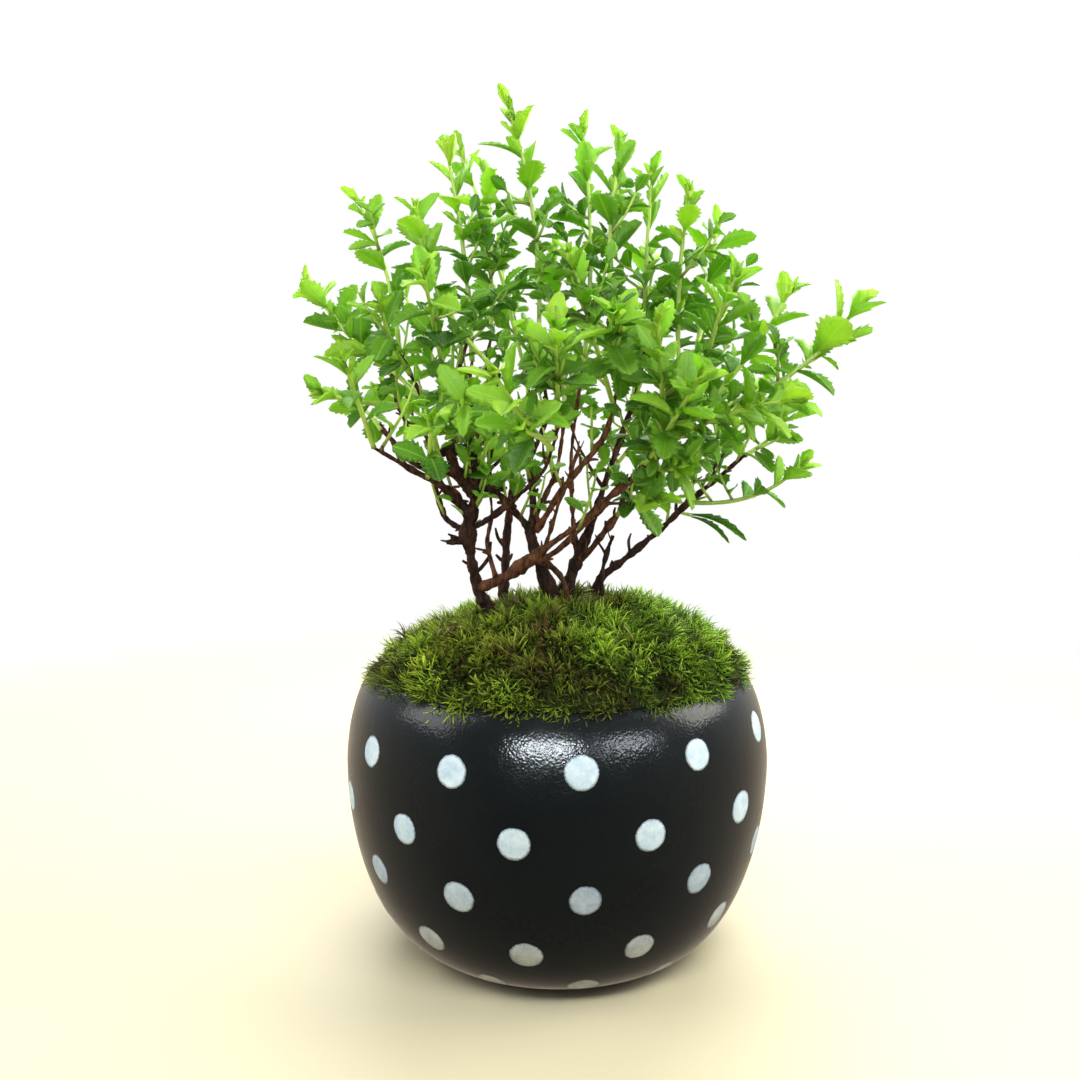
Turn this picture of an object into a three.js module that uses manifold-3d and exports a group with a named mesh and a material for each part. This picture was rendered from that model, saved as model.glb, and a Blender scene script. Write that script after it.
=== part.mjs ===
// A dwarf Japanese spirea grown as a bonsai: several woody stems with leafy green shoots, planted in soil
// under a mound of moss, in a squat round glazed pot. Millimetres, +Z up, front towards -Y, with the
// origin on the floor under the middle of the pot.
import * as THREE from 'three';
import { mergeVertices } from 'three/addons/utils/BufferGeometryUtils.js';
import Module from 'manifold-3d';

const wasm = await Module();
wasm.setup();

// Driving dimensions.
const GAP = 0.3;                 // between pieces that touch
const OUTSIDE = { foot: 26.2, widest: 46.3, rim: 40.4, bottom: 0, top: 59.4 };
const INSIDE = { foot: 22.6, widest: 42, rim: 37, bottom: 5, top: 57.5 };
const WIDEST_Z = 41;             // height of the pot's widest line
const FOOT_RING = { inner: 21.5, recess: 1.6 };
const DRAIN_HOLE = 5.5;          // radius
const MESH = { size: 20, thick: 0.9, hole: 3, pitch: 4.2, across: 3 };
const WIRE = { radius: 0.6, spread: 8 };
const GRAVEL_TOP = 14;
const SOIL = { edge: 57.6, crown: 68 };
const MOSS = { overhang: 40.7, edge: 59.7, crown: 76.5 };
const ROUND = 32;                // facets round the pot
const BARK_SIDES = 5;
const SHOOT_SIDES = 4;
const GOLDEN_ANGLE = 2.4;        // radians from one leaf to the next round a shoot

// The layout of the stems is stated on the front elevation: x and z as they appear in perspective on the
// plane through the pot's axis, and the depth behind that plane.
const EYE = { distance: 220, height: 105.5 };

function seen([x, z, depth]) {
  const spread = (EYE.distance + depth) / EYE.distance;
  return new THREE.Vector3(x * spread, depth, EYE.height + (z - EYE.height) * spread);
}

// Solids and meshes.
function solidOf(geometry) {
  const bare = geometry.clone();
  for (const name of Object.keys(bare.attributes)) {
    if (name !== 'position') bare.deleteAttribute(name);
  }
  const merged = mergeVertices(bare, 1e-4);
  return new wasm.Manifold(new wasm.Mesh({
    numProp: 3,
    vertProperties: new Float32Array(merged.attributes.position.array),
    triVerts: new Uint32Array(merged.index.array),
  }));
}

function geometryOf(solid) {
  const mesh = solid.getMesh();
  const geometry = new THREE.BufferGeometry();
  geometry.setAttribute('position', new THREE.BufferAttribute(new Float32Array(mesh.vertProperties), 3));
  geometry.setIndex(new THREE.BufferAttribute(new Uint32Array(mesh.triVerts), 1));
  geometry.computeVertexNormals();
  return geometry;
}

// The biggest of a solid's separate pieces.
function largest(solid) {
  return solid.decompose().sort((a, b) => b.volume() - a.volume())[0];
}

const bonsai = new THREE.Group();

function addNode(name, geometry, colour, roughness) {
  const material = new THREE.MeshStandardMaterial({ color: colour, roughness, metalness: 0 });
  const mesh = new THREE.Mesh(geometry, material);
  mesh.name = name;
  bonsai.add(mesh);
}

// A lathe turns about Y, so it is stood up to turn about Z.
function turned(profile) {
  const geometry = new THREE.LatheGeometry(profile.map(([r, z]) => new THREE.Vector2(r, z)), ROUND);
  return geometry.rotateX(Math.PI / 2);
}

// One side of the pot's wall: a quarter ellipse from the foot to the widest line, and above it a shorter one,
// a little drawn in at the shoulder, to the rim.
function wall({ foot, widest, rim, bottom, top }) {
  const points = [];
  const [lowerSteps, upperSteps, shoulder] = [6, 4, 1.16];
  for (let i = 0; i < lowerSteps; i += 1) {
    const angle = i / lowerSteps * Math.PI / 2;
    points.push([foot + (widest - foot) * Math.sin(angle), WIDEST_Z - (WIDEST_Z - bottom) * Math.cos(angle)]);
  }
  for (let i = 0; i <= upperSteps; i += 1) {
    const angle = i / upperSteps * Math.PI / 2;
    const [inwards, upwards] = [Math.max(Math.cos(angle), 0) ** shoulder, Math.sin(angle) ** shoulder];
    points.push([rim + (widest - rim) * inwards, WIDEST_Z + (top - WIDEST_Z) * upwards]);
  }
  return points;
}

function potGeometry() {
  return turned([
    [DRAIN_HOLE, FOOT_RING.recess],
    [FOOT_RING.inner - 1, FOOT_RING.recess],
    [FOOT_RING.inner, 0],
    ...wall(OUTSIDE),
    [INSIDE.rim + 1.2, OUTSIDE.top],
    ...wall(INSIDE).reverse(),
    [DRAIN_HOLE, INSIDE.bottom],
    [DRAIN_HOLE, FOOT_RING.recess],
  ]);
}

// The inside of the pot at a height, less a gap.
function insideRadius(z) {
  const side = wall(INSIDE);
  const above = side.findIndex(([, height]) => height > z);
  const [[r0, z0], [r1, z1]] = [side[above - 1], side[above]];
  return r0 + (r1 - r0) * (z - z0) / (z1 - z0) - GAP - 0.15;
}

// A plastic mesh square lies over the drain hole, with rows of square openings.
function meshGeometry() {
  const bottom = INSIDE.bottom + GAP;
  const slab = (width, height) => new THREE.BoxGeometry(width, width, height);
  let plate = solidOf(slab(MESH.size, MESH.thick).translate(0, 0, bottom + MESH.thick / 2));
  const first = -(MESH.across - 1) * MESH.pitch / 2;
  for (let i = 0; i < MESH.across; i += 1) {
    for (let j = 0; j < MESH.across; j += 1) {
      const opening = slab(MESH.hole, 3 * MESH.thick);
      opening.translate(first + i * MESH.pitch, first + j * MESH.pitch, bottom);
      plate = plate.subtract(solidOf(opening));
    }
  }
  return geometryOf(plate);
}

// The wire that holds the mesh: two legs through its openings and the drain hole, bent out under the pot.
function wireGeometry() {
  const top = INSIDE.bottom + GAP + MESH.thick + GAP + WIRE.radius;
  const under = FOOT_RING.recess - GAP - WIRE.radius;
  const leg = MESH.pitch;
  const half = [[leg, top], [leg, under], [WIRE.spread, under]];
  const corners = [...half.map(([x, z]) => [-x, z]).reverse(), ...half];
  const bars = corners.slice(1).map(([x, z], i) => {
    const [fromX, fromZ] = corners[i];
    const bar = new THREE.BoxGeometry(
      Math.abs(x - fromX) + 2 * WIRE.radius, 2 * WIRE.radius, Math.abs(z - fromZ) + 2 * WIRE.radius);
    return solidOf(bar.translate((x + fromX) / 2, 0, (z + fromZ) / 2));
  });
  return geometryOf(bars.reduce((whole, bar) => whole.add(bar)));
}

// A closed tube round a curve, with its radii spread evenly along it and flat ends.
function tube(curve, radii, sides, steps) {
  const frames = curve.computeFrenetFrames(steps, false);
  const positions = [];
  for (let i = 0; i <= steps; i += 1) {
    const along = i / steps * (radii.length - 1);
    const low = Math.min(Math.floor(along), radii.length - 2);
    const radius = radii[low] + (radii[low + 1] - radii[low]) * (along - low);
    const centre = curve.getPoint(i / steps);
    for (let j = 0; j < sides; j += 1) {
      const angle = j / sides * 2 * Math.PI;
      const p = centre.clone()
        .addScaledVector(frames.normals[i], radius * Math.cos(angle))
        .addScaledVector(frames.binormals[i], radius * Math.sin(angle));
      positions.push(p.x, p.y, p.z);
    }
  }
  const index = [];
  for (let i = 0; i < steps; i += 1) {
    for (let j = 0; j < sides; j += 1) {
      const [a, b] = [i * sides + j, i * sides + (j + 1) % sides];
      index.push(a, b, b + sides, a, b + sides, a + sides);
    }
  }
  const last = steps * sides;
  for (let j = 1; j < sides - 1; j += 1) {
    index.push(0, j + 1, j, last, last + j, last + j + 1);
  }
  const geometry = new THREE.BufferGeometry();
  geometry.setAttribute('position', new THREE.BufferAttribute(new Float32Array(positions), 3));
  geometry.setIndex(index);
  return geometry;
}

// Gravel over the mesh, and soil above it up to the moss.
function gravelGeometry() {
  const floor = INSIDE.bottom + GAP;
  const clear = MESH.size / Math.SQRT2 + GAP;
  const overMesh = floor + MESH.thick + 3 * WIRE.radius + GAP;
  return turned([
    [0, overMesh],
    [clear, overMesh],
    [clear, floor],
    [INSIDE.foot, floor],
    [insideRadius(9), 9],
    [insideRadius(GRAVEL_TOP), GRAVEL_TOP],
    [0, GRAVEL_TOP],
  ]);
}

const soilEdge = INSIDE.rim - 2 * GAP;

// A mound's profile, from its edge up to its crown.
function mound(edgeRadius, edgeZ, crownZ, steps) {
  const points = [];
  for (let i = 0; i <= steps; i += 1) {
    const r = edgeRadius * (1 - i / steps);
    points.push([r, edgeZ + (crownZ - edgeZ) * (1 - (r / edgeRadius) ** 2) ** 0.6]);
  }
  return points;
}

function soilGeometry() {
  const bottom = GRAVEL_TOP + GAP;
  const heights = [bottom, 25, WIDEST_Z, 50];
  return turned([
    [0, bottom],
    ...heights.map((z) => [insideRadius(z), z]),
    ...mound(soilEdge, SOIL.edge, SOIL.crown, 3),
  ]);
}

function mossGeometry() {
  const underside = mound(soilEdge, SOIL.edge, SOIL.crown, 3).map(([r, z]) => [r, z + GAP]);
  return turned([
    ...underside.reverse(),
    [soilEdge + 0.2, MOSS.edge + GAP],
    [MOSS.overhang, MOSS.edge + GAP],
    [MOSS.overhang + 0.6, MOSS.edge + 2],
    ...mound(MOSS.overhang, MOSS.edge + 2.6, MOSS.crown, 5).slice(1),
  ]);
}

// The woody stems. Each limb is a list of [x, z, depth, radius] from its foot to its end, on the front
// elevation. The first limb of a stem stands in the soil, and the others grow out of it.
const STEMS = {
  left: {
    trunk: [[-11, 52, 3, 2.6], [-13.2, 68, 1, 2.5], [-16.2, 74, -0.6, 2.1], [-17.5, 77.2, -1.3, 1.8],
      [-18.4, 80.5, -2, 1.4], [-19.2, 85, -3, 1.5], [-19.7, 90, -3.7, 1.9], [-18.7, 94.5, -4.5, 1.5],
      [-18, 98.5, -5, 1.2], [-17.7, 103, -5.5, 1.05], [-18.9, 108.5, -6, 0.85], [-20.1, 112.4, -6.5, 0.8]],
    lean: [[-17.2, 77.2, -1.5, 1.5], [-14.3, 78.2, -2.5, 1.3], [-10.5, 80.1, -3.4, 1.5],
      [-7.5, 82.4, -4, 1.65], [-4.6, 84.3, -4.5, 1.5], [-2.4, 86.1, -5, 0.9], [0.4, 88.1, -5.6, 0.6],
      [3.4, 90.2, -6.4, 0.75], [7.9, 93.8, -7.6, 0.8], [11.6, 97.3, -8.8, 0.85], [16.2, 101, -10, 0.95],
      [20.3, 105.5, -11, 0.85], [25.3, 110.7, -12.5, 0.7], [31, 116, -14, 0.5]],
    leanTwin: [[-3.4, 84.8, -4.7, 0.7], [-0.2, 86.2, -5.2, 0.55], [2.1, 87.9, -5.8, 0.5],
      [4, 90.3, -6.5, 0.45]],
    low: [[-18.8, 92.8, -4, 1.2], [-24.3, 98.7, -8, 1.05], [-26.8, 100.8, -10, 0.95],
      [-30.3, 102.4, -12, 0.75],
      [-36.2, 105.8, -15, 0.55], [-40.4, 108.2, -16.5, 0.4]],
    mid: [[-26, 100.4, -9.6, 0.9], [-28.4, 103, -9, 0.8], [-34, 106.3, -7, 0.6], [-35, 108.5, -6, 0.6],
      [-38.4, 111.8, -4, 0.4]],
    outer: [[-26.2, 101, -9.8, 0.9], [-27.6, 107, -8, 0.8], [-29, 110.9, -6, 0.75], [-32.3, 112.6, -4, 0.65],
      [-35.3, 118, -2, 0.5], [-36.2, 124, 4, 0.4]],
    inner: [[-28.8, 110.6, -6, 0.7], [-28.6, 115, -5, 0.65], [-30.5, 121, -5, 0.6], [-34.5, 129, -5, 0.4]],
    arch: [[-18.2, 102.5, -5.3, 1], [-20.2, 106.6, -4.5, 1], [-23.3, 108, -5, 1.1], [-25.8, 106.5, -7, 0.9],
      [-26.8, 103.6, -9, 0.8]],
    knob: [[-19.4, 88.2, -3.4, 1.2], [-22, 87.5, -4, 0.95], [-24.5, 87.3, -5, 0.6]],
    cross: [[-18.6, 90.5, -3.6, 0.9], [-14.3, 93, -6, 0.8], [-8, 98, -9, 0.65], [-3, 103, -14, 0.5],
      [-1, 108, -20, 0.45], [0.5, 113, -26, 0.4]],
    drop: [[-20.3, 90.8, -3.5, 0.7], [-24.1, 93.5, -2, 0.5], [-26.9, 101, -1, 0.4], [-27, 112, 4, 0.35]],
    thin: [[-13.6, 79.6, -3.2, 0.7], [-15.4, 87, 0, 0.5], [-14.4, 94.5, 4, 0.45], [-16, 104, 5, 0.4],
      [-19, 119, 5, 0.4], [-18.6, 127, 5, 0.4]],
    rise: [[-19.5, 110, -6.2, 0.75], [-21.4, 117, -5, 0.65], [-22.8, 121, -4, 0.6], [-25, 125.5, -3, 0.45]],
    riseTwin: [[-22.6, 120, -4, 0.5], [-22.4, 123.5, -3, 0.45], [-20.5, 128, -2, 0.4],
      [-19.5, 133, -1, 0.35]],
  },
  upright: {
    trunk: [[-10.6, 52, 9, 1.6], [-11.8, 73, 7, 1.4], [-11.6, 79, 6.5, 1.2], [-11.3, 86, 6.7, 1.05],
      [-10.2, 97, 7.5, 0.95], [-9.5, 103, 8, 0.85], [-9, 108, 8.5, 0.8], [-14, 119, 10.5, 0.65],
      [-15.3, 126, 11.5, 0.55], [-14.4, 132.6, 12.5, 0.45]],
    fork: [[-9.2, 106, 8.3, 0.7], [-6.5, 111, 12, 0.6], [-6, 118, 16, 0.5], [-7, 125, 20, 0.4]],
  },
  middle: {
    trunk: [[0.5, 52, -1, 2.2], [-0.5, 71, -0.5, 2.1], [-1.2, 76, 0, 1.9], [-3.9, 82.5, 0.6, 1.4],
      [-5.9, 89.5, 1.2, 1.35], [-5.2, 93, 1.5, 1.1], [-5.6, 101, 2.5, 0.75], [-6, 105, 3, 0.7],
      [-2.5, 114, 4, 0.6], [-2.5, 120, 4, 0.5], [-4.2, 127, 3.5, 0.4]],
    strand: [[3, 52, -3.5, 0.9], [2.2, 76, -2.2, 0.8], [-2.4, 83, -1.3, 0.75], [-4.3, 86, -0.3, 0.8]],
    upLeft: [[-5.8, 90, 1.2, 1], [-8.3, 93, 3, 0.95], [-12, 96.8, 3, 0.9], [-15, 102, 0.5, 0.85],
      [-14.8, 107, 0, 0.8], [-14.2, 112, -1, 0.7], [-12.8, 124.5, -4, 0.5]],
    upRight: [[-4.9, 92.5, 1.5, 0.85], [-1.5, 99.8, 4.5, 0.7], [0.2, 104, 6, 0.6], [1.8, 116, 13, 0.45]],
    brown: [[-4.6, 89.7, 0.3, 0.9], [0.7, 98, -4, 0.85], [3.3, 101.6, -5.2, 0.8], [10.2, 110.3, -7, 0.7],
      [13, 120, -8.5, 0.5], [13.5, 125, -10, 0.4]],
    right: [[3, 52, 2.5, 2], [2, 72, 1.8, 2], [2.4, 77, 2.2, 1.9], [4.7, 84, 4, 1.5], [7.7, 91.5, 5, 1],
      [10.5, 100, 6, 0.85], [13.5, 109.2, 7, 0.75], [17.2, 119.4, 8, 0.55], [19, 129, 8.5, 0.4]],
    thin: [[4.5, 84, 4, 0.75], [3.5, 93.4, 6, 0.65], [3.2, 107, 9, 0.55], [4.8, 120, 10.5, 0.45],
      [6, 128, 10, 0.4]],
    outer: [[5, 83.5, 3.6, 1.1], [7.9, 86.2, 2, 1], [13.5, 93.6, 0, 0.85], [14.9, 97.2, -1, 0.8],
      [20.5, 104.3, -3, 0.7], [24, 108, -3.5, 0.6], [26.3, 113, -4, 0.5], [30, 125.5, -1, 0.4]],
  },
  right: {
    trunk: [[8, 52, 10.5, 1.3], [8.3, 72, 9.5, 1.25], [9.2, 78.4, 8.6, 1.15], [15.2, 83.7, 8.8, 1.05],
      [23.6, 90.8, 9.7, 0.95], [28.7, 95.9, 10.3, 0.85], [35.2, 101.4, 11.2, 0.65], [41.2, 106.5, 12, 0.45]],
    fork: [[28.4, 95.6, 10.3, 0.6], [29.6, 99, 12.5, 0.5], [31, 104, 15, 0.4]],
  },
  stub: {
    trunk: [[11, 52, 1, 0.8], [10, 75, 1.5, 0.75], [10.2, 81.3, 2, 0.7], [12.4, 88.9, 2.5, 0.55]],
  },
  backLeft: {
    trunk: [[-9, 52, 15, 1.3], [-11.4, 74, 14, 1.2], [-11.5, 80, 15, 1], [-10.8, 92, 19, 0.8],
      [-9.4, 103, 23, 0.7], [-11, 117, 29, 0.45]],
    fork: [[-9.6, 102, 22.6, 0.55], [-15, 108, 21, 0.5], [-21, 114, 21, 0.4]],
  },
  backRight: {
    trunk: [[3, 52, 14, 1.3], [2.8, 74, 14, 1.2], [4, 81, 15, 1], [7.7, 91.5, 19, 0.8], [10.5, 100, 23, 0.7],
      [15, 112, 28, 0.5], [16.5, 118, 31, 0.4]],
    fork: [[10.2, 99.4, 22.8, 0.55], [6, 106, 28, 0.5], [3, 113, 33, 0.4]],
  },
};

const NODE_OF_STEM = {
  left: 'stem_left',
  upright: 'stem_upright',
  middle: 'stem_middle',
  right: 'stem_right',
  stub: 'stem_stub',
  backLeft: 'stem_back_left',
  backRight: 'stem_back_right',
};

function limbSolid(limb, extra) {
  const radii = limb.map(([, , , radius]) => radius + extra);
  const curve = new THREE.CatmullRomCurve3(limb.map(seen), false, 'centripetal');
  return solidOf(tube(curve, radii, BARK_SIDES, limb.length - 1));
}

const joined = (solids) => solids.reduce((whole, solid) => whole.add(solid));

const stemSolid = (stem, extra) => joined(Object.values(STEMS[stem]).map((limb) => limbSolid(limb, extra)));

// Under the stems, in the soil, is the crown that the roots spread from.
const CROWN = { centre: [-1, 5, 50], half: [17, 15, 7.5] };
const ROOTS = [
  { angle: 0.2, reach: 27, drop: 20 },
  { angle: 1.2, reach: 24, drop: 27 },
  { angle: 2.1, reach: 28, drop: 18 },
  { angle: 3.0, reach: 25, drop: 24 },
  { angle: 4.0, reach: 28, drop: 28 },
  { angle: 5.1, reach: 26, drop: 21 },
];

function rootSolid(extra) {
  const [cx, cy, cz] = CROWN.centre;
  const lump = new THREE.SphereGeometry(1, 10, 6);
  lump.scale(...CROWN.half.map((half) => half + extra)).translate(cx, cy, cz);
  const roots = ROOTS.map(({ angle, reach, drop }) => {
    const at = (share, down) => new THREE.Vector3(
      cx + reach * share * Math.cos(angle), cy + 0.85 * reach * share * Math.sin(angle), cz - down);
    const path = [at(0.2, 0), at(0.6, drop * 0.25), at(0.85, drop * 0.6), at(1, drop)];
    const radii = [2.4, 1.9, 1.3, 0.7].map((radius) => radius + extra);
    return solidOf(tube(new THREE.CatmullRomCurve3(path), radii, BARK_SIDES, 4));
  });
  return joined([solidOf(lump), ...roots]);
}

// A green shoot grows from a limb, at a share of its length, to a tip on the front elevation. bend moves its
// middle sideways and up, size is its largest leaf's length, and bare is the share of it that has no leaves.
function shoot(on, at, tip, bend, leaves, size, bare) {
  return { on, at, tip, bend, leaves, size, bare };
}

const SHOOTS = {
  leftmost: shoot('left.outer', 1, [-54.2, 143.2, 26], [-2, 0], 10, 8.6, 0.2),
  left_high: shoot('left.inner', 1, [-42.7, 160.5, 8], [3, 2], 9, 8.4, 0.2),
  left_tuft: shoot('left.inner', 0.8, [-38.5, 139.5, -16], [-2, 0], 8, 8, 0.15),
  left_diagonal: shoot('middle.upLeft', 1, [-30.5, 158.5, -16], [-6, -3], 8, 8.6, 0.55),
  left_crest: shoot('left.thin', 1, [-23.8, 172, 3], [2, 0], 12, 8.4, 0.2),
  left_dark: shoot('upright.trunk', 1, [-15.5, 167, 20], [1, 0], 10, 8.4, 0.2),
  left_spear: shoot('upright.fork', 1, [-20.3, 170.5, 34], [0, 6], 9, 8, 0.3),
  top_left: shoot('middle.trunk', 1, [-10.4, 180.5, 0], [5, 3], 12, 9, 0.25),
  top_middle: shoot('middle.thin', 1, [5.5, 175.5, 10], [3, 0], 12, 9, 0.2),
  top_right: shoot('middle.brown', 1, [13.6, 172.5, -8], [-4, 2], 11, 8.4, 0.25),
  right_crest: shoot('middle.right', 1, [20.5, 166.5, 4], [-1, 0], 11, 8.6, 0.2),
  right_yellow: shoot('middle.outer', 0.9, [28.5, 162, -10], [-3, 2], 10, 8.2, 0.25),
  right_middle: shoot('middle.outer', 1, [34.5, 155, 12], [0, 2], 10, 8.6, 0.2),
  right_low_crest: shoot('left.lean', 1, [38.8, 145, -24], [-2, 2], 9, 8.4, 0.2),
  right_arm: shoot('left.lean', 0.95, [50.5, 142, -2], [1, -4], 10, 9, 0.25),
  rightmost: shoot('left.lean', 1, [65, 138.5, -18], [5, -6], 10, 9.6, 0.3),
  right_droop: shoot('left.lean', 0.88, [52, 118.5, -27], [0, 4], 9, 9.4, 0.25),
  right_side: shoot('right.trunk', 1, [51, 117, 22], [2, -2], 8, 8.2, 0.1),
  right_low: shoot('right.trunk', 0.72, [53.5, 104.2, 4], [4, -5], 7, 7.6, 0.4),
  right_low_back: shoot('right.fork', 1, [45, 122, 36], [2, -2], 10, 8.6, 0.15),
  low_front: shoot('middle.outer', 0.28, [21.5, 97, -11], [0, 1], 4, 8.6, 0.5),
  low_inner: shoot('middle.outer', 0.55, [29, 104.5, -24], [0, -1], 6, 8.2, 0.3),
  left_low_out: shoot('left.outer', 0.78, [-51.5, 120, -14], [0, -1], 7, 8, 0.35),
  left_low_up: shoot('left.low', 1, [-46.5, 126.5, -28], [0, 0], 8, 8, 0.3),
  left_droop: shoot('left.mid', 1, [-44.5, 117.5, 10], [0, 2], 6, 7.6, 0.35),
  left_middle: shoot('left.inner', 0.55, [-46.5, 131.5, 12], [1, 2], 8, 8.2, 0.3),
  left_front: shoot('left.low', 0.5, [-27.5, 114.5, -34], [0, -1], 8, 8.4, 0.2),
  left_inner: shoot('left.trunk', 1, [-20, 119, -28], [0, 0], 8, 8.4, 0.2),
  front_middle: shoot('left.cross', 1, [-0.4, 134.5, -47], [0, 0], 9, 9.4, 0.2),
  front_right: shoot('middle.brown', 0.9, [12.2, 137.5, -40], [0, -2], 9, 9.4, 0.25),
  front_far_right: shoot('left.lean', 0.9, [22, 135.5, -38], [0, 0], 9, 9.4, 0.2),
  front_left: shoot('left.cross', 0.8, [-13.5, 124, -48], [0, -2], 8, 9.4, 0.2),
  front_low: shoot('left.cross', 0.9, [-8, 113, -42], [0, -2], 7, 9, 0.2),
  front_side: shoot('left.lean', 0.83, [31, 123.5, -42], [0, -1], 9, 9.2, 0.2),
  inner_middle: shoot('middle.upRight', 1, [-0.5, 150, 20], [0, 0], 9, 8.6, 0.2),
  inner_front: shoot('middle.brown', 0.75, [3, 149, -24], [0, 0], 10, 8.6, 0.3),
  inner_left: shoot('left.rise', 1, [-29, 146, -28], [0, 0], 9, 8.6, 0.2),
  back_left: shoot('backLeft.trunk', 1, [-12, 151, 43], [0, 0], 11, 8.6, 0.15),
  back_far_left: shoot('backLeft.fork', 1, [-34, 143, 36], [0, 0], 11, 8.6, 0.15),
  back_right: shoot('backRight.trunk', 1, [20, 150, 42], [0, 0], 11, 8.6, 0.15),
  back_middle: shoot('backRight.fork', 1, [3, 134, 49.5], [0, 0], 9, 8.8, 0.15),
  back_low_left: shoot('backLeft.trunk', 0.8, [-18, 121, 50], [0, -2], 9, 8.6, 0.2),
  back_low_right: shoot('backRight.trunk', 0.7, [25, 122, 48], [0, -2], 9, 8.6, 0.2),
  back_side_left: shoot('backLeft.fork', 0.6, [-39, 121, 30], [0, -2], 9, 8.4, 0.2),
  back_side_right: shoot('right.fork', 0.7, [35, 139, 32], [0, 0], 9, 8.6, 0.2),
};

const SHOOT_RADIUS = { foot: 0.62, tip: 0.32 };
const SHOOT_STEPS = 4;

// A repeatable number from 0 to 1 for each seed.
function chance(seed) {
  const wave = Math.sin(seed * 12.9898) * 43758.5453;
  return wave - Math.floor(wave);
}

function pointOnLimb(limb, share) {
  const along = share * (limb.length - 1);
  const low = Math.min(Math.floor(along), limb.length - 2);
  const mixed = limb[low].map((value, i) => value + (limb[low + 1][i] - value) * (along - low));
  return { point: seen(mixed), radius: mixed[3] };
}

// A shoot's axis: a bow from the bark of its limb to its tip, as a line through a few points.
function shootAxis({ on, at, tip, bend }) {
  const [stem, limb] = on.split('.');
  const { point, radius } = pointOnLimb(STEMS[stem][limb], at);
  const end = seen(tip);
  const middle = point.clone().lerp(end, 0.5).add(new THREE.Vector3(bend[0], 0, bend[1]));
  const outward = middle.clone().sub(point).normalize();
  const foot = point.clone().addScaledVector(outward, radius + GAP);
  const points = new THREE.QuadraticBezierCurve3(foot, middle, end).getPoints(SHOOT_STEPS);
  const line = new THREE.CurvePath();
  for (let i = 1; i < points.length; i += 1) line.add(new THREE.LineCurve3(points[i - 1], points[i]));
  return { points, line };
}

// Where each leaf of a shoot stands: its foot, the way it points, the way its upper face looks, and its size.
function leafPlaces({ leaves, size, bare }, { points }, number) {
  const places = [];
  for (let k = 0; k < leaves; k += 1) {
    const share = k / (leaves - 1);
    const seed = number * 31 + k;
    const at = bare + (1 - bare) * (0.02 + 0.97 * share);
    const step = Math.min(Math.floor(at * SHOOT_STEPS), SHOOT_STEPS - 1);
    const foot = points[step].clone().lerp(points[step + 1], at * SHOOT_STEPS - step);
    const along = points[step + 1].clone().sub(points[step]).normalize();
    const side = along.clone().cross(new THREE.Vector3(0.9, 0.35, -0.25)).normalize();
    const other = along.clone().cross(side);
    const turn = k * GOLDEN_ANGLE + chance(seed) * 0.7 + number;
    const outward = side.multiplyScalar(Math.cos(turn)).addScaledVector(other, Math.sin(turn));
    const pitch = 1.22 - 0.75 * share ** 1.6 + 0.25 * (chance(seed + 0.3) - 0.5);
    const towards = along.clone().multiplyScalar(Math.cos(pitch)).addScaledVector(outward, Math.sin(pitch));
    const sky = along.clone().multiplyScalar(0.8).add(new THREE.Vector3(0, 0, 0.5));
    const upper = sky.addScaledVector(towards, -sky.dot(towards)).normalize();
    const fullness = 0.72 + 0.38 * Math.sin(Math.PI * (0.12 + 0.66 * share)) - 0.3 * share ** 6;
    const length = size * fullness * (0.9 + 0.2 * chance(seed + 0.6));
    places.push({ foot, along, towards, upper, length, width: length * (0.56 - 0.12 * share) });
  }
  return places;
}

// A plain leaf of four facets: a kite folded up along its midrib, with its hollow filled.
function leafSolid({ foot, towards, upper, length, width }, extra) {
  const across = upper.clone().cross(towards);
  const frame = new THREE.Matrix4().makeBasis(towards, across, upper).setPosition(foot);
  const [widestAt, side] = [0.6 * length, width / 2 + extra];
  const [droop, fold] = [0.03 * length + extra, 0.05 * length + extra];
  const geometry = new THREE.BufferGeometry();
  geometry.setAttribute('position', new THREE.BufferAttribute(new Float32Array([
    -0.05, 0, -extra,
    widestAt, side, fold,
    length + extra, 0, -droop,
    widestAt, -side, fold,
  ]), 3));
  geometry.applyMatrix4(frame);
  geometry.setIndex([0, 3, 1, 1, 3, 2, 0, 1, 2, 0, 2, 3]);
  return solidOf(geometry);
}

// Solids with their boxes, for testing what is in the way.
const boxed = (solid) => ({ solid, box: solid.boundingBox() });

const boxesMeet = (a, b) => [0, 1, 2].every((i) => a.min[i] < b.max[i] && b.min[i] < a.max[i]);

function isClear(candidate, taken) {
  const { solid, box } = boxed(candidate);
  return taken.every((other) => !boxesMeet(box, other.box) || solid.intersect(other.solid).isEmpty());
}

// The body of a shoot: its green axis, cut clear of the bark that it stands on.
function shootStem({ line }, wood) {
  const axis = solidOf(tube(line, [SHOOT_RADIUS.foot, SHOOT_RADIUS.tip], SHOOT_SIDES, SHOOT_STEPS));
  return largest(axis.subtract(wood));
}

// Ways to turn a leaf round its shoot and to shorten it until it is clear of everything else.
const TURNS = [
  [0, 1], [0.35, 1], [-0.35, 1], [0.7, 0.95], [-0.7, 0.95], [0, 0.75], [0.9, 0.75], [-0.9, 0.75],
];
const LEAF_CLEARANCE = 0.12;

function clearLeaf(place, taken) {
  for (const [turn, shrink] of TURNS) {
    const quaternion = new THREE.Quaternion().setFromAxisAngle(place.along, turn);
    const turned = {
      foot: place.foot,
      towards: place.towards.clone().applyQuaternion(quaternion),
      upper: place.upper.clone().applyQuaternion(quaternion),
      length: place.length * shrink,
      width: place.width * shrink,
    };
    if (isClear(leafSolid(turned, LEAF_CLEARANCE), taken)) return turned;
  }
  return null;
}

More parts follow.
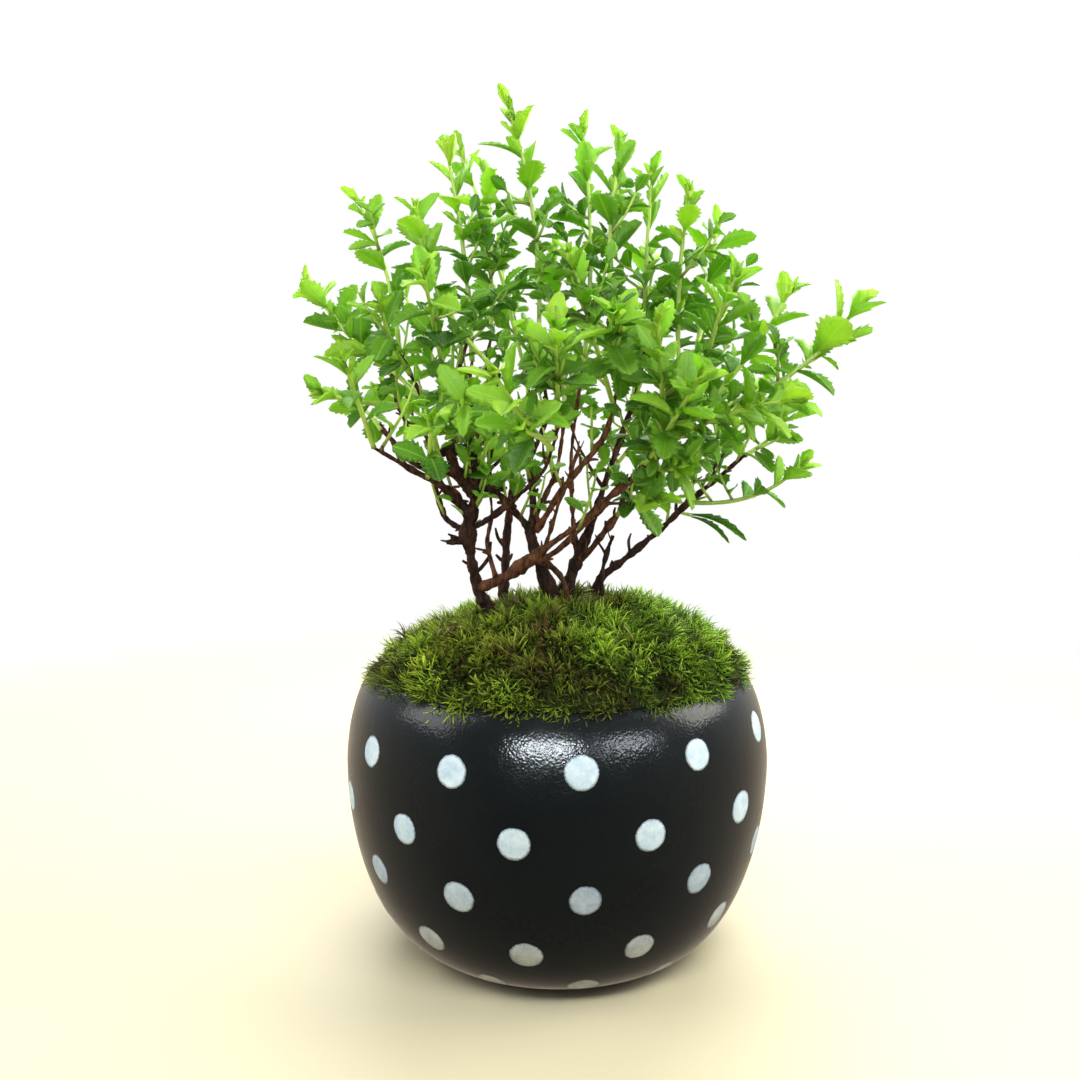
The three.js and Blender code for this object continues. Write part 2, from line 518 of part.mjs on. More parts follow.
function shootSolids(wood) {
  const names = Object.keys(SHOOTS);
  const curves = names.map((name) => shootAxis(SHOOTS[name]));
  const axes = curves.map((curve) => shootStem(curve, wood));
  const leaves = names.map(() => []);
  names.forEach((name, number) => {
    const isOther = (item, i) => i !== number;
    const others = [boxed(wood), ...axes.filter(isOther).map(boxed), ...leaves.filter(isOther).flat()];
    for (const place of leafPlaces(SHOOTS[name], curves[number], number)) {
      const fitted = clearLeaf(place, others);
      if (fitted) leaves[number].push(boxed(leafSolid(fitted, 0)));
    }
  });
  return names.map((name, i) => ({ name, solid: joined([axes[i], ...leaves[i].map(({ solid }) => solid)]) }));
}

addNode('pot', potGeometry(), 0x17191c, 0.25);
addNode('drainage_mesh', meshGeometry(), 0x2c2f2c, 0.7);
addNode('mesh_wire', wireGeometry(), 0x8a8d90, 0.4);
addNode('drainage_gravel', gravelGeometry(), 0x8f8674, 0.9);

const crownRoom = rootSolid(GAP);
const stemRoom = joined(Object.keys(STEMS).map((stem) => stemSolid(stem, GAP)));
const room = stemRoom.add(crownRoom);
addNode('soil', geometryOf(solidOf(soilGeometry()).subtract(room)), 0x3a2c1f, 0.95);
addNode('moss', geometryOf(solidOf(mossGeometry()).subtract(room)), 0x5f7a26, 0.95);
addNode('root_crown', geometryOf(rootSolid(0)), 0x5a4030, 0.9);
for (const stem of Object.keys(STEMS)) {
  const standing = largest(stemSolid(stem, 0).subtract(crownRoom));
  addNode(NODE_OF_STEM[stem], geometryOf(standing), 0x4a3326, 0.85);
}
for (const { name, solid } of shootSolids(stemRoom)) {
  addNode(`shoot_${name}`, geometryOf(solid), 0x6aa22c, 0.6);
}

export default bonsai;
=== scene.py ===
"""A dwarf Japanese spirea grown as a bonsai, in a round glazed pot with pale dots."""
import math
import random

import bpy
import numpy as np
from mathutils import Matrix, Vector, noise


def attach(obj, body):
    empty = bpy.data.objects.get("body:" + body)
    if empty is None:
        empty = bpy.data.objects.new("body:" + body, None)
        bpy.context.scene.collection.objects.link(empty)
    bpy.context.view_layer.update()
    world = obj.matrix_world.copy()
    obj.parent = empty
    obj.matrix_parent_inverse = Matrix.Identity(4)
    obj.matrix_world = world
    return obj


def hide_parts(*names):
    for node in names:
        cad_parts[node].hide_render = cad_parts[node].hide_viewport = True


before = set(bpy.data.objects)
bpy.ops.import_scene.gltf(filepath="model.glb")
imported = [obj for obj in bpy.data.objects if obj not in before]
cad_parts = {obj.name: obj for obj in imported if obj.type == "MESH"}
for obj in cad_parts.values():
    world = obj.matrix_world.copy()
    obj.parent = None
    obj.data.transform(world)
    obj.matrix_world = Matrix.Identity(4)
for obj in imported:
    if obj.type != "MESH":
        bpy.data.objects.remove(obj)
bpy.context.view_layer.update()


# The stage is a plain pale floor in plain white light. The camera stands a hand's length in front of the
# plant, level with its lowest leaves, and looks very slightly down.
MM = 0.001
EYE = Vector((0.4, -220, 105.5)) * MM
LOOKS_DOWN = math.radians(4.6)
LOOKS_LEFT = math.radians(1.07)
SENSOR = 36
VIEW_WIDTH = 1080
FOCAL_PIXELS = 995
NEAREST_SEEN = 10
FLOOR_HALF = 3.0
FLOOR_CREAM = (0.54, 0.485, 0.325)
GLOW_CREAM = (1, 1, 0.86)
FLOOR_FADE = (0.18, 0.42)  # distances at which the floor starts to fade, and has faded
GLOW_FADE = (0.24, 0.42)  # and the same for the cream in its glow
LIGHT_BY_HEIGHT = (-0.7, 0.9, 0.46, 1.2)  # from and to which direction, and how strong at each
LIGHT_BY_DEPTH = (-0.95, 0.65, 0.07, 1.15)
HORIZON = (-0.15, 0.15)
FROM_BELOW, FROM_ABOVE = (1.0, 0.84, 0.63), (0.96, 0.985, 1.0)
SEEN_WHITE = 1.02
PLANT_MIDDLE = Vector((0, 0, 0.09))
GLAZE_FRONT = Vector((0.01, -0.04, 0.054))
LAMPS = [  # name, place, aim, width and height, power, colour
    ("window", (0.10, -0.42, 0.62), PLANT_MIDDLE, (0.60, 0.11), 4.2, (0.95, 0.98, 1.0)),
    ("pane_left", (-0.04, -0.48, 0.220), GLAZE_FRONT, (0.25, 0.045), 3.8, (0.86, 0.94, 1.0)),
    ("pane_right", (0.29, -0.38, 0.220), GLAZE_FRONT, (0.22, 0.045), 0.95, (0.86, 0.94, 1.0)),
    ("lamp_left", (-0.75, -0.15, 0.55), PLANT_MIDDLE, (0.5, 0.5), 4.0, (1, 1, 1)),
    ("lamp_right", (0.75, 0.05, 0.55), PLANT_MIDDLE, (0.5, 0.5), 6.5, (1.0, 0.97, 0.9)),
    ("lamp_behind", (0.1, 0.9, 0.65), PLANT_MIDDLE, (1.2, 0.6), 18, (1, 1, 1)),
]


def node(tree, kind, settings=None, inputs=None):
    """Adds a node to a tree. Each input is set to a value, or linked where the value is a socket."""
    made = tree.nodes.new(kind)
    for key, value in (settings or {}).items():
        setattr(made, key, value)
    for key, value in (inputs or {}).items():
        if isinstance(key, int):
            socket = made.inputs[key]
        else:
            socket = next(s for s in made.inputs if s.name == key and s.enabled)
        if isinstance(value, bpy.types.NodeSocket):
            tree.links.new(value, socket)
        else:
            socket.default_value = value
    return made


def out(made, name=None):
    """The output of a node by its name, or its first one in use."""
    return next(s for s in made.outputs if s.enabled and name in (None, s.name))


def ranged(tree, value, low=0.0, high=1.0, to_low=0.0, to_high=1.0, smooth=False):
    """Moves a value from the range of low to high into the range of to_low to to_high."""
    way = "SMOOTHSTEP" if smooth else "LINEAR"
    return out(node(tree, "ShaderNodeMapRange", {"interpolation_type": way}, {
        "Value": value, "From Min": low, "From Max": high, "To Min": to_low, "To Max": to_high}))


def mix(tree, factor, a, b, way="MIX"):
    """Mixes two colours, each one a socket or three numbers."""
    a, b = ((*end, 1) if isinstance(end, tuple) else end for end in (a, b))
    return out(node(tree, "ShaderNodeMix", {"data_type": "RGBA", "blend_type": way}, {
        "Factor": factor, "A": a, "B": b}))


def calc(tree, way, a, b=0.0, c=0.0, clamp=False):
    return out(node(tree, "ShaderNodeMath", {"operation": way, "use_clamp": clamp}, {0: a, 1: b, 2: c}))


def vector(tree, way, a, b=None, scale=None):
    inputs = {0: a}
    if b is not None:
        inputs[1] = b
    if scale is not None:
        inputs["Scale"] = scale
    return out(node(tree, "ShaderNodeVectorMath", {"operation": way}, inputs))


def object_place(tree):
    return out(node(tree, "ShaderNodeTexCoord"), "Object")


def two_shaders(tree, share, first, second):
    """Ends a material with a share of a second shader over the first."""
    both = node(tree, "ShaderNodeMixShader", None, {0: share, 1: out(first), 2: out(second)})
    tree.links.new(out(both), tree.nodes["Material Output"].inputs["Surface"])


def set_camera():
    ahead = Vector((
        -math.sin(LOOKS_LEFT) * math.cos(LOOKS_DOWN),
        math.cos(LOOKS_LEFT) * math.cos(LOOKS_DOWN),
        -math.sin(LOOKS_DOWN),
    ))
    lens = bpy.data.cameras.new("camera")
    lens.sensor_width = SENSOR
    lens.lens = SENSOR * FOCAL_PIXELS / VIEW_WIDTH
    lens.clip_start = NEAREST_SEEN * MM
    camera = bpy.data.objects.new("camera", lens)
    camera.location = EYE
    camera.rotation_euler = ahead.to_track_quat("-Z", "Y").to_euler()
    bpy.context.scene.collection.objects.link(camera)
    bpy.context.scene.camera = camera


def new_piece(name, mesh):
    piece = bpy.data.objects.new(name, mesh)
    bpy.context.scene.collection.objects.link(piece)
    return piece


def new_finish(name, **plain):
    """A material with its shader's plain values set, and its tree for what varies over the surface."""
    finish = bpy.data.materials.new(name)
    finish.use_nodes = True
    tree = finish.node_tree
    shader = tree.nodes["Principled BSDF"]
    for key, value in plain.items():
        shader.inputs[key.replace("_", " ")].default_value = value
    return finish, tree, shader


def lay_floor():
    """The floor is cream near the plant and fades into plain white farther out."""
    near, far = -FLOOR_HALF, FLOOR_HALF
    mesh = bpy.data.meshes.new("floor")
    mesh.from_pydata([(near, near, 0), (far, near, 0), (far, far, 0), (near, far, 0)], [], [(0, 1, 2, 3)])
    floor = new_piece("floor", mesh)
    finish, tree, shader = new_finish(
        "pale_floor", Base_Color=(*FLOOR_CREAM, 1), Roughness=0.6, Specular_IOR_Level=0.2)
    reach = vector(tree, "LENGTH", object_place(tree))
    glow = mix(tree, ranged(tree, reach, *GLOW_FADE), GLOW_CREAM, (1, 1, 1))
    white = node(tree, "ShaderNodeEmission", None, {"Color": glow, "Strength": 1.0})
    two_shaders(tree, ranged(tree, reach, *FLOOR_FADE, smooth=True), shader, white)
    mesh.materials.append(finish)
    floor.visible_glossy = False


def surround_with_light():
    """Light from all sides, strongest from above and behind the plant. The camera sees it as white."""
    world = bpy.data.worlds.new("white_light")
    bpy.context.scene.world = world
    world.use_nodes = True
    tree = world.node_tree
    tree.nodes.clear()
    way = node(tree, "ShaderNodeSeparateXYZ", None, {0: out(node(tree, "ShaderNodeTexCoord"), "Generated")})
    strength = calc(tree, "MULTIPLY", ranged(tree, out(way, "Z"), *LIGHT_BY_HEIGHT),
                    ranged(tree, out(way, "Y"), *LIGHT_BY_DEPTH))
    tint = mix(tree, ranged(tree, out(way, "Z"), *HORIZON), FROM_BELOW, FROM_ABOVE)
    around = node(tree, "ShaderNodeBackground", None, {"Color": tint, "Strength": strength})
    white = node(tree, "ShaderNodeBackground", None, {"Color": (1, 1, 1, 1), "Strength": SEEN_WHITE})
    both = node(tree, "ShaderNodeMixShader", None, {
        0: out(node(tree, "ShaderNodeLightPath"), "Is Camera Ray"), 1: out(around), 2: out(white)})
    node(tree, "ShaderNodeOutputWorld", None, {"Surface": out(both)})


def set_lamps():
    """A soft window over the camera that leaves no gleam, two panes that only gleam, and three lamps."""
    for name, place, aim, size, power, colour in LAMPS:
        data = bpy.data.lights.new(name, "AREA")
        data.shape = "RECTANGLE"
        data.size, data.size_y = size
        data.energy = power
        data.color = colour
        lamp = bpy.data.objects.new(name, data)
        lamp.location = place
        lamp.rotation_euler = (aim - Vector(place)).to_track_quat("-Z", "Y").to_euler()
        lamp.visible_glossy = name != "window"
        lamp.visible_diffuse = lamp.visible_transmission = not name.startswith("pane")
        bpy.context.scene.collection.objects.link(lamp)


def set_colours():
    view = bpy.context.scene.view_settings
    view.view_transform = "Standard"
    view.look = "None"
    view.exposure = 0.0


set_camera()
lay_floor()
surround_with_light()
set_lamps()
set_colours()


# The pot is thrown stoneware, squat and round, with a small foot ring and a drain hole in its floor. It is
# dipped in a black glaze that has fired to a low gloss, finely pebbled where it is thick on the shoulder.
POT = {"foot": 26.2, "widest": 46.3, "rim": 40.4, "widest_z": 41, "height": 59.4}
INSIDE = {"foot": 22.6, "widest": 42, "rim": 37, "floor": 5, "top": 57.5}
SHOULDER = 2 / 1.72
BELLY_SHARE, SHOULDER_SHARE = 0.55, 0.45  # of the outer side's length
DRAIN_HOLE = 5.5
FOOT_RECESS = 1.6
FOOT_PROFILE = [(6.0, FOOT_RECESS), (12, FOOT_RECESS), (20.3, FOOT_RECESS), (21.2, 1.1), (21.7, 0.35),
                (22.4, 0), (24.6, 0), (25.8, 0)]  # (radius, height), from the drain hole outwards
LIP_PROFILE = [(39.9, 59.4), (39.0, 59.1), (38.3, 58.5), (37.8, 57.6), (37.6, 56.4)]
FLOOR_PROFILE = [(14, INSIDE["floor"]), (6.0, INSIDE["floor"]), (DRAIN_HOLE, 4.5), (DRAIN_HOLE, 2.1)]
LOWER_FROM, LOWER_SPAN, UPPER_SPAN = 0.02, 0.53, 0.445  # what is drawn of the outer side's length
LOWER_STEPS, UPPER_STEPS, ROUND_STEPS = 36, 26, 192
INNER_UPPER_STEPS, INNER_LOWER_STEPS = 8, 16
HAND_THROWN = 0.004  # how far a radius wanders
WANDER_ROUND, WANDER_UP = 1.3, 25  # how often, round the pot and up it


def outside(share):
    """(radius, height) on the pot's outer side in millimetres, from its foot at 0 to its rim at 1."""
    if share < BELLY_SHARE:
        angle = share / BELLY_SHARE * math.pi / 2
        rise = POT["widest_z"] * (1 - math.cos(angle))
        return POT["foot"] + (POT["widest"] - POT["foot"]) * math.sin(angle), rise
    angle = (share - BELLY_SHARE) / SHOULDER_SHARE * math.pi / 2
    inwards = max(math.cos(angle), 0) ** SHOULDER
    upwards = math.sin(angle) ** SHOULDER
    radius = POT["rim"] + (POT["widest"] - POT["rim"]) * inwards
    return radius, POT["widest_z"] + (POT["height"] - POT["widest_z"]) * upwards


def pot_profile():
    points = list(FOOT_PROFILE)
    points += [outside(LOWER_FROM + LOWER_SPAN * i / LOWER_STEPS) for i in range(LOWER_STEPS)]
    points += [outside(BELLY_SHARE + UPPER_SPAN * i / UPPER_STEPS) for i in range(UPPER_STEPS + 1)]
    points += LIP_PROFILE
    for i in range(1, INNER_UPPER_STEPS + 1):
        angle = (1 - i / INNER_UPPER_STEPS) * math.pi / 2
        radius = INSIDE["rim"] + (INSIDE["widest"] - INSIDE["rim"]) * math.cos(angle) ** SHOULDER
        height = POT["widest_z"] + (INSIDE["top"] - POT["widest_z"]) * math.sin(angle) ** SHOULDER
        points.append((radius, height))
    for i in range(1, INNER_LOWER_STEPS + 1):
        angle = (1 - i / INNER_LOWER_STEPS) * math.pi / 2
        radius = INSIDE["foot"] + (INSIDE["widest"] - INSIDE["foot"]) * math.sin(angle)
        height = POT["widest_z"] - (POT["widest_z"] - INSIDE["floor"]) * math.cos(angle)
        points.append((radius, height))
    return points + FLOOR_PROFILE


def turn_on_wheel(name, profile):
    """A closed ring of a profile turned round the Z axis, with the slight unevenness of hand throwing."""
    angles = np.arange(ROUND_STEPS) * 2 * math.pi / ROUND_STEPS
    points = []
    for radius, height in np.array(profile) * MM:
        for angle in angles:
            place = Vector((math.cos(angle), math.sin(angle), height * WANDER_UP))
            swell = 1 + HAND_THROWN * noise.noise(place * WANDER_ROUND)
            points.append((radius * swell * math.cos(angle), radius * swell * math.sin(angle), height))
    faces = []
    for i in range(len(profile)):
        row, following = i * ROUND_STEPS, (i + 1) % len(profile) * ROUND_STEPS
        for j in range(ROUND_STEPS):
            k = (j + 1) % ROUND_STEPS
            faces.append((row + j, row + k, following + k, following + j))
    mesh = bpy.data.meshes.new(name)
    mesh.from_pydata(points, [], faces)
    mesh.shade_smooth()
    return mesh


def cloud(tree, place, fineness, detail=2.0, roughness=0.5, part=None):
    """Soft random patches, as a value, or as a colour where part says so."""
    return out(node(tree, "ShaderNodeTexNoise", None, {
        "Vector": place, "Scale": fineness, "Detail": detail, "Roughness": roughness}), part)


def emboss(tree, shader, height, strength, depth, invert=False):
    """Gives a material a fine relief, depth millimetres deep."""
    bump = node(tree, "ShaderNodeBump", {"invert": invert}, {
        "Height": height, "Strength": strength, "Distance": depth * MM})
    tree.links.new(out(bump), shader.inputs["Normal"])


def black_glaze():
    finish, tree, shader = new_finish("black_glaze", Specular_IOR_Level=0.24)
    place = object_place(tree)
    colour = mix(tree, cloud(tree, place, 55, 4), (0.0045, 0.0065, 0.0078), (0.009, 0.0115, 0.0122))
    tree.links.new(colour, shader.inputs["Base Color"])
    gloss = ranged(tree, cloud(tree, place, 130, 5, 0.65), 0.3, 0.7, 0.12, 0.25)
    tree.links.new(gloss, shader.inputs["Roughness"])
    pebbles = node(tree, "ShaderNodeTexVoronoi", {"feature": "SMOOTH_F1"}, {
        "Vector": place, "Scale": 2100, "Smoothness": 0.5})
    relief = calc(tree, "MULTIPLY_ADD", out(pebbles, "Distance"), -0.75, cloud(tree, place, 900))
    emboss(tree, shader, relief, 0.55, 0.075)
    return finish


pot = new_piece("pot_body", turn_on_wheel("pot_body", pot_profile()))
pot.data.materials.append(black_glaze())
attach(pot, "root")
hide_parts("pot")


# The dots are pale slip, laid on by hand in five staggered rows of twelve before the last firing. They melt
# into the glaze with an uneven, slightly grainy edge, and stand a hair proud of the wall.
DOT_RADIUS = 3.75
DOT_RISE = 0.10
DOT_WANDER = 0.5
DOTS_ROUND = 12
DOT_ROWS = [(49.2, 5.6, 0.95), (36.5, -8.6, 0.97), (24.9, 6.6, 0.42), (12.8, -7.6, 0.40),
            (3.4, 8.6, 0.35)]  # height, first angle and paleness; the paleness is painted light: the two upper rows, which face the sky, are painted pale and the lower ones grey
ROWS_LEAN = math.tan(math.radians(2.0))
LEAN_FROM = 15
DISC_SIDES = 28
DISC_RINGS = [(1 / 3, 0.97), (2 / 3, 0.85), (1.0, -0.6)]  # share of the radius, height
DISC_UNDER = -1.2
WALL_STEPS = 400


def modifier_tree(name, *sizes):
    """A geometry node group with a geometry input and output, and a named input for each size."""
    group = bpy.data.node_groups.new(name, "GeometryNodeTree")
    group.interface.new_socket("Geometry", in_out="INPUT", socket_type="NodeSocketGeometry")
    for label, kind, value in sizes:
        socket = group.interface.new_socket(label, in_out="INPUT", socket_type="NodeSocket" + kind)
        if value is not None:
            socket.default_value = value
    group.interface.new_socket("Geometry", in_out="OUTPUT", socket_type="NodeSocketGeometry")
    return group, node(group, "NodeGroupInput").outputs


def position(group):
    return out(node(group, "GeometryNodeInputPosition"))


def read(group, name, kind="FLOAT"):
    return out(node(group, "GeometryNodeInputNamedAttribute", {"data_type": kind}, {"Name": name}))


def keep(group, geometry, name, value, domain="POINT"):
    return out(node(group, "GeometryNodeStoreNamedAttribute", {"data_type": "FLOAT", "domain": domain}, {
        "Geometry": geometry, "Name": name, "Value": value}))


def move(group, geometry, **way):
    """Moves the points of a geometry to a Position, by an Offset, or both."""
    return out(node(group, "GeometryNodeSetPosition", None, {"Geometry": geometry, **way}))


def one_geometry(group, geometry):
    return out(node(group, "GeometryNodeRealizeInstances", None, {"Geometry": geometry}))


def finish_tree(group, geometry, material):
    """Ends a tree with Realize Instances, smooth shading and Set Material."""
    whole = one_geometry(group, geometry)
    smooth = out(node(group, "GeometryNodeSetShadeSmooth", None, {"Geometry": whole}))
    covered = out(node(group, "GeometryNodeSetMaterial", None, {"Geometry": smooth, "Material": material}))
    node(group, "NodeGroupOutput", None, {"Geometry": covered})
    return group


def grow(name, mesh, group, **sizes):
    """Runs a tree on a mesh with the sizes given, and returns the result as a plain new piece."""
    seedling = new_piece(name + "_source", mesh)
    modifier = seedling.modifiers.new("grow", "NODES")
    modifier.node_group = group
    inputs = {item.name: item.identifier for item in group.interface.items_tree if item.in_out == "INPUT"}
    for label, value in sizes.items():
        modifier[inputs[label.replace("_", " ")]] = value
    view = bpy.context.evaluated_depsgraph_get()
    made = bpy.data.meshes.new_from_object(seedling.evaluated_get(view), depsgraph=view)
    made.name = name
    bpy.data.objects.remove(seedling)
    return new_piece(name, made)


def keep_rows(mesh, kind, **rows):
    """Keeps rows of values on a mesh's points, each under its name."""
    for name, row in rows.items():
        part = "vector" if kind == "FLOAT_VECTOR" else "value"
        mesh.attributes.new(name, kind, "POINT").data.foreach_set(part, np.array(row).ravel())


def dot_disc():
    """One dot as a thin closed lens of unit radius, with its height above the wall as Z."""
    points, faces = [(0, 0, 1)], []
    for share, height in DISC_RINGS:
        for j in range(DISC_SIDES):
            angle = j * 2 * math.pi / DISC_SIDES
            points.append((share * math.cos(angle), share * math.sin(angle), height))
    below = len(points)
    points.append((0, 0, DISC_UNDER))
    rim = below - DISC_SIDES
    for j in range(DISC_SIDES):
        k = (j + 1) % DISC_SIDES
        faces.append((0, 1 + j, 1 + k))
        for a in range(1, rim, DISC_SIDES):
            b = a + DISC_SIDES
            faces.append((a + j, b + j, b + k, a + k))
        faces.append((below, rim + k, rim + j))
    mesh = bpy.data.meshes.new("dot_disc")
    mesh.from_pydata(points, [], faces)
    return new_piece("dot_disc", mesh)


def dots_tree():
    """Sets a disc on each point, wanders its edge, and wraps it on the wall."""
    group, given = modifier_tree(
        "dots_on_wall", ("Disc", "Object", None), ("Wall", "Object", None), ("Radius", "Float", 0.00325),
        ("Rise", "Float", 0.0001), ("Wander", "Float", 0.0003), ("Material", "Material", None))
    disc, wall = (out(node(group, "GeometryNodeObjectInfo", None, {"Object": given[name]}), "Geometry")
                  for name in ("Disc", "Wall"))
    height = out(node(group, "ShaderNodeSeparateXYZ", None, {0: position(group)}), "Z")
    disc = keep(group, disc, "rise", height)
    flat = move(group, disc, Position=vector(group, "MULTIPLY", position(group), (1, 1, 0)))
    away = read(group, "away", "FLOAT_VECTOR")
    turned = out(node(group, "FunctionNodeAlignRotationToVector", {"axis": "Z"}, {"Vector": away}))
    placed = out(node(group, "GeometryNodeInstanceOnPoints", None, {
        "Points": given["Geometry"], "Instance": flat, "Rotation": turned,
        "Scale": calc(group, "MULTIPLY", given["Radius"], read(group, "size"))}))
    drift = vector(group, "SUBTRACT", cloud(group, position(group), 420.0, part="Color"), (0.5, 0.5, 0.5))
    drift = vector(group, "SCALE", drift, scale=given["Wander"])
    whole = move(group, one_geometry(group, placed), Offset=drift)
    near = node(group, "GeometryNodeProximity", {"target_element": "FACES"}, {0: wall})
    lift = vector(group, "SCALE", away, scale=calc(group, "MULTIPLY", read(group, "rise"), given["Rise"]))
    whole = move(group, whole, Position=out(near, "Position"), Offset=lift)
    return finish_tree(group, whole, given["Material"])


def kept(tree, label, part="Fac"):
    """A value kept on a mesh, for its material."""
    return out(node(tree, "ShaderNodeAttribute", {"attribute_name": label}), part)


def pale_slip():
    """Paler on the two upper rows and greyer blue below, a painted light from the sky, with tone that
    differs at random; warmer low on the pot, a painted reflection of the floor; and dark at its edge.
    """
    finish, tree, shader = new_finish("pale_slip", Specular_IOR_Level=0.12)
    place = object_place(tree)
    patches = cloud(tree, place, 330, 6, 0.75)
    tone = ranged(tree, patches, 0.30, 0.66)
    # Painted light: thin is the slip as if in shade and thick as if lit by the sky, picked by each dot's
    # paleness, its painted row light.
    thin = mix(tree, tone, (0.14, 0.185, 0.25), (0.35, 0.41, 0.49))
    thick = mix(tree, tone, (0.35, 0.50, 0.61), (0.66, 0.76, 0.81))
    # Painted reflection: warm is the floor's colour as reflected low on the pot, laid over the slip by the
    # mask low, towards the foot.
    warm = mix(tree, tone, (0.25, 0.22, 0.16), (0.50, 0.46, 0.37))
    height = out(node(tree, "ShaderNodeSeparateXYZ", None, {0: place}), "Z")
    low = ranged(tree, height, 0.024, 0.010, 0.0, 0.6)
    slip = mix(tree, low, mix(tree, kept(tree, "pale"), thin, thick), warm)
    edge = calc(tree, "MULTIPLY_ADD", cloud(tree, place, 2600), 0.8, kept(tree, "rise"))
    colour = mix(tree, ranged(tree, edge, 0.34, 0.98), (0.02, 0.024, 0.026), slip)
    tree.links.new(colour, shader.inputs["Base Color"])
    tree.links.new(ranged(tree, patches, to_low=0.3, to_high=0.5), shader.inputs["Roughness"])
    emboss(tree, shader, patches, 0.25, 0.1)
    return finish


def dot_places():
    """A mesh of points, one for each dot, with the way out from the wall, a size, and a paleness: its row's
    painted light with a little random tone.
    """
    side = [outside(step / WALL_STEPS) for step in range(WALL_STEPS + 1)]
    hand = random.Random(5)
    places, away, size, pale = [], [], [], []
    for height, first, paleness in DOT_ROWS:
        for i in range(DOTS_ROUND):
            angle = math.radians(first + 360 / DOTS_ROUND * i + hand.uniform(-0.9, 0.9))
            z = height + hand.uniform(-0.25, 0.25)
            z += ROWS_LEAN * POT["widest"] * math.sin(angle) * min(1, height / LEAN_FROM)
            at = min(range(WALL_STEPS), key=lambda step: abs(side[step][1] - z))
            (radius, low), (radius_above, high) = side[at], side[at + 1]
            slope = math.atan2(radius - radius_above, high - low)
            around = Vector((math.sin(angle), -math.cos(angle), 0))
            places.append(around * radius * MM + Vector((0, 0, z * MM)))
            away.append(around * math.cos(slope) + Vector((0, 0, math.sin(slope))))
            size.append(hand.uniform(0.95, 1.05))
            pale.append(paleness + hand.uniform(-0.15, 0.1))
    mesh = bpy.data.meshes.new("dot_places")
    mesh.from_pydata(places, [], [])
    keep_rows(mesh, "FLOAT_VECTOR", away=away)
    keep_rows(mesh, "FLOAT", size=size, pale=pale)
    return mesh


disc = dot_disc()
dots = grow("pot_dots", dot_places(), dots_tree(), Disc=disc, Wall=pot, Radius=DOT_RADIUS * MM,
            Rise=DOT_RISE * MM, Wander=DOT_WANDER * MM, Material=pale_slip())
bpy.data.objects.remove(disc)
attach(dots, "root")


# Under the plant, out of sight: a black plastic mesh over the drain hole, held by a bent aluminium wire,
# then a layer of pale gravel and dark potting soil, with the plant's root crown in it.
GROUND = {  # solid: finish, darkest and lightest colour, fineness of its grains, roughness, relief, metal
    "drainage_mesh": ("black_plastic", (0.012, 0.013, 0.012), (0.03, 0.032, 0.03), 900, 0.55, 0.05, 0.0),
    "mesh_wire": ("aluminium_wire", (0.55, 0.56, 0.57), (0.72, 0.73, 0.74), 1200, 0.32, 0.02, 1.0),
    "drainage_gravel": ("pumice_gravel", (0.22, 0.19, 0.14), (0.62, 0.57, 0.48), 260, 0.9, 1.2, 0.0),
    "soil": ("potting_soil", (0.012, 0.008, 0.005), (0.09, 0.06, 0.035), 420, 0.95, 0.8, 0.0),
    "root_crown": ("root_bark", (0.05, 0.028, 0.015), (0.2, 0.12, 0.07), 500, 0.85, 0.4, 0.0),
}


def ground_finish(name, darkest, lightest, fineness, roughness, relief, metal):
    finish, tree, shader = new_finish(name, Roughness=roughness, Metallic=metal)
    place = object_place(tree)
    grains = node(tree, "ShaderNodeTexVoronoi", None, {"Vector": place, "Scale": fineness})
    shade = calc(tree, "MULTIPLY_ADD", out(grains, "Distance"), 0.5, cloud(tree, place, fineness * 0.4, 5))
    colour = mix(tree, ranged(tree, shade, 0.45, 0.95), darkest, lightest)
    tree.links.new(colour, shader.inputs["Base Color"])
    emboss(tree, shader, shade, 0.7, relief)
    return finish


for name, look in GROUND.items():
    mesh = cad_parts[name].data
    mesh.materials.clear()
    mesh.materials.append(ground_finish(*look))


# Seven woody stems rise from the crown through the moss. Years of pruning have left them knotted, with
# swollen joints, short spurs and dry twigs, under thin bark that flakes in dark and reddish browns.
def seen(x, z, depth):
    """A point given as it looks from the camera on the plane through the pot's axis, set back by depth."""
    spread = (-EYE.y / MM + depth) / (-EYE.y / MM)
    level = EYE.z / MM
    return Vector((x * spread, depth, level + (z - level) * spread)) * MM


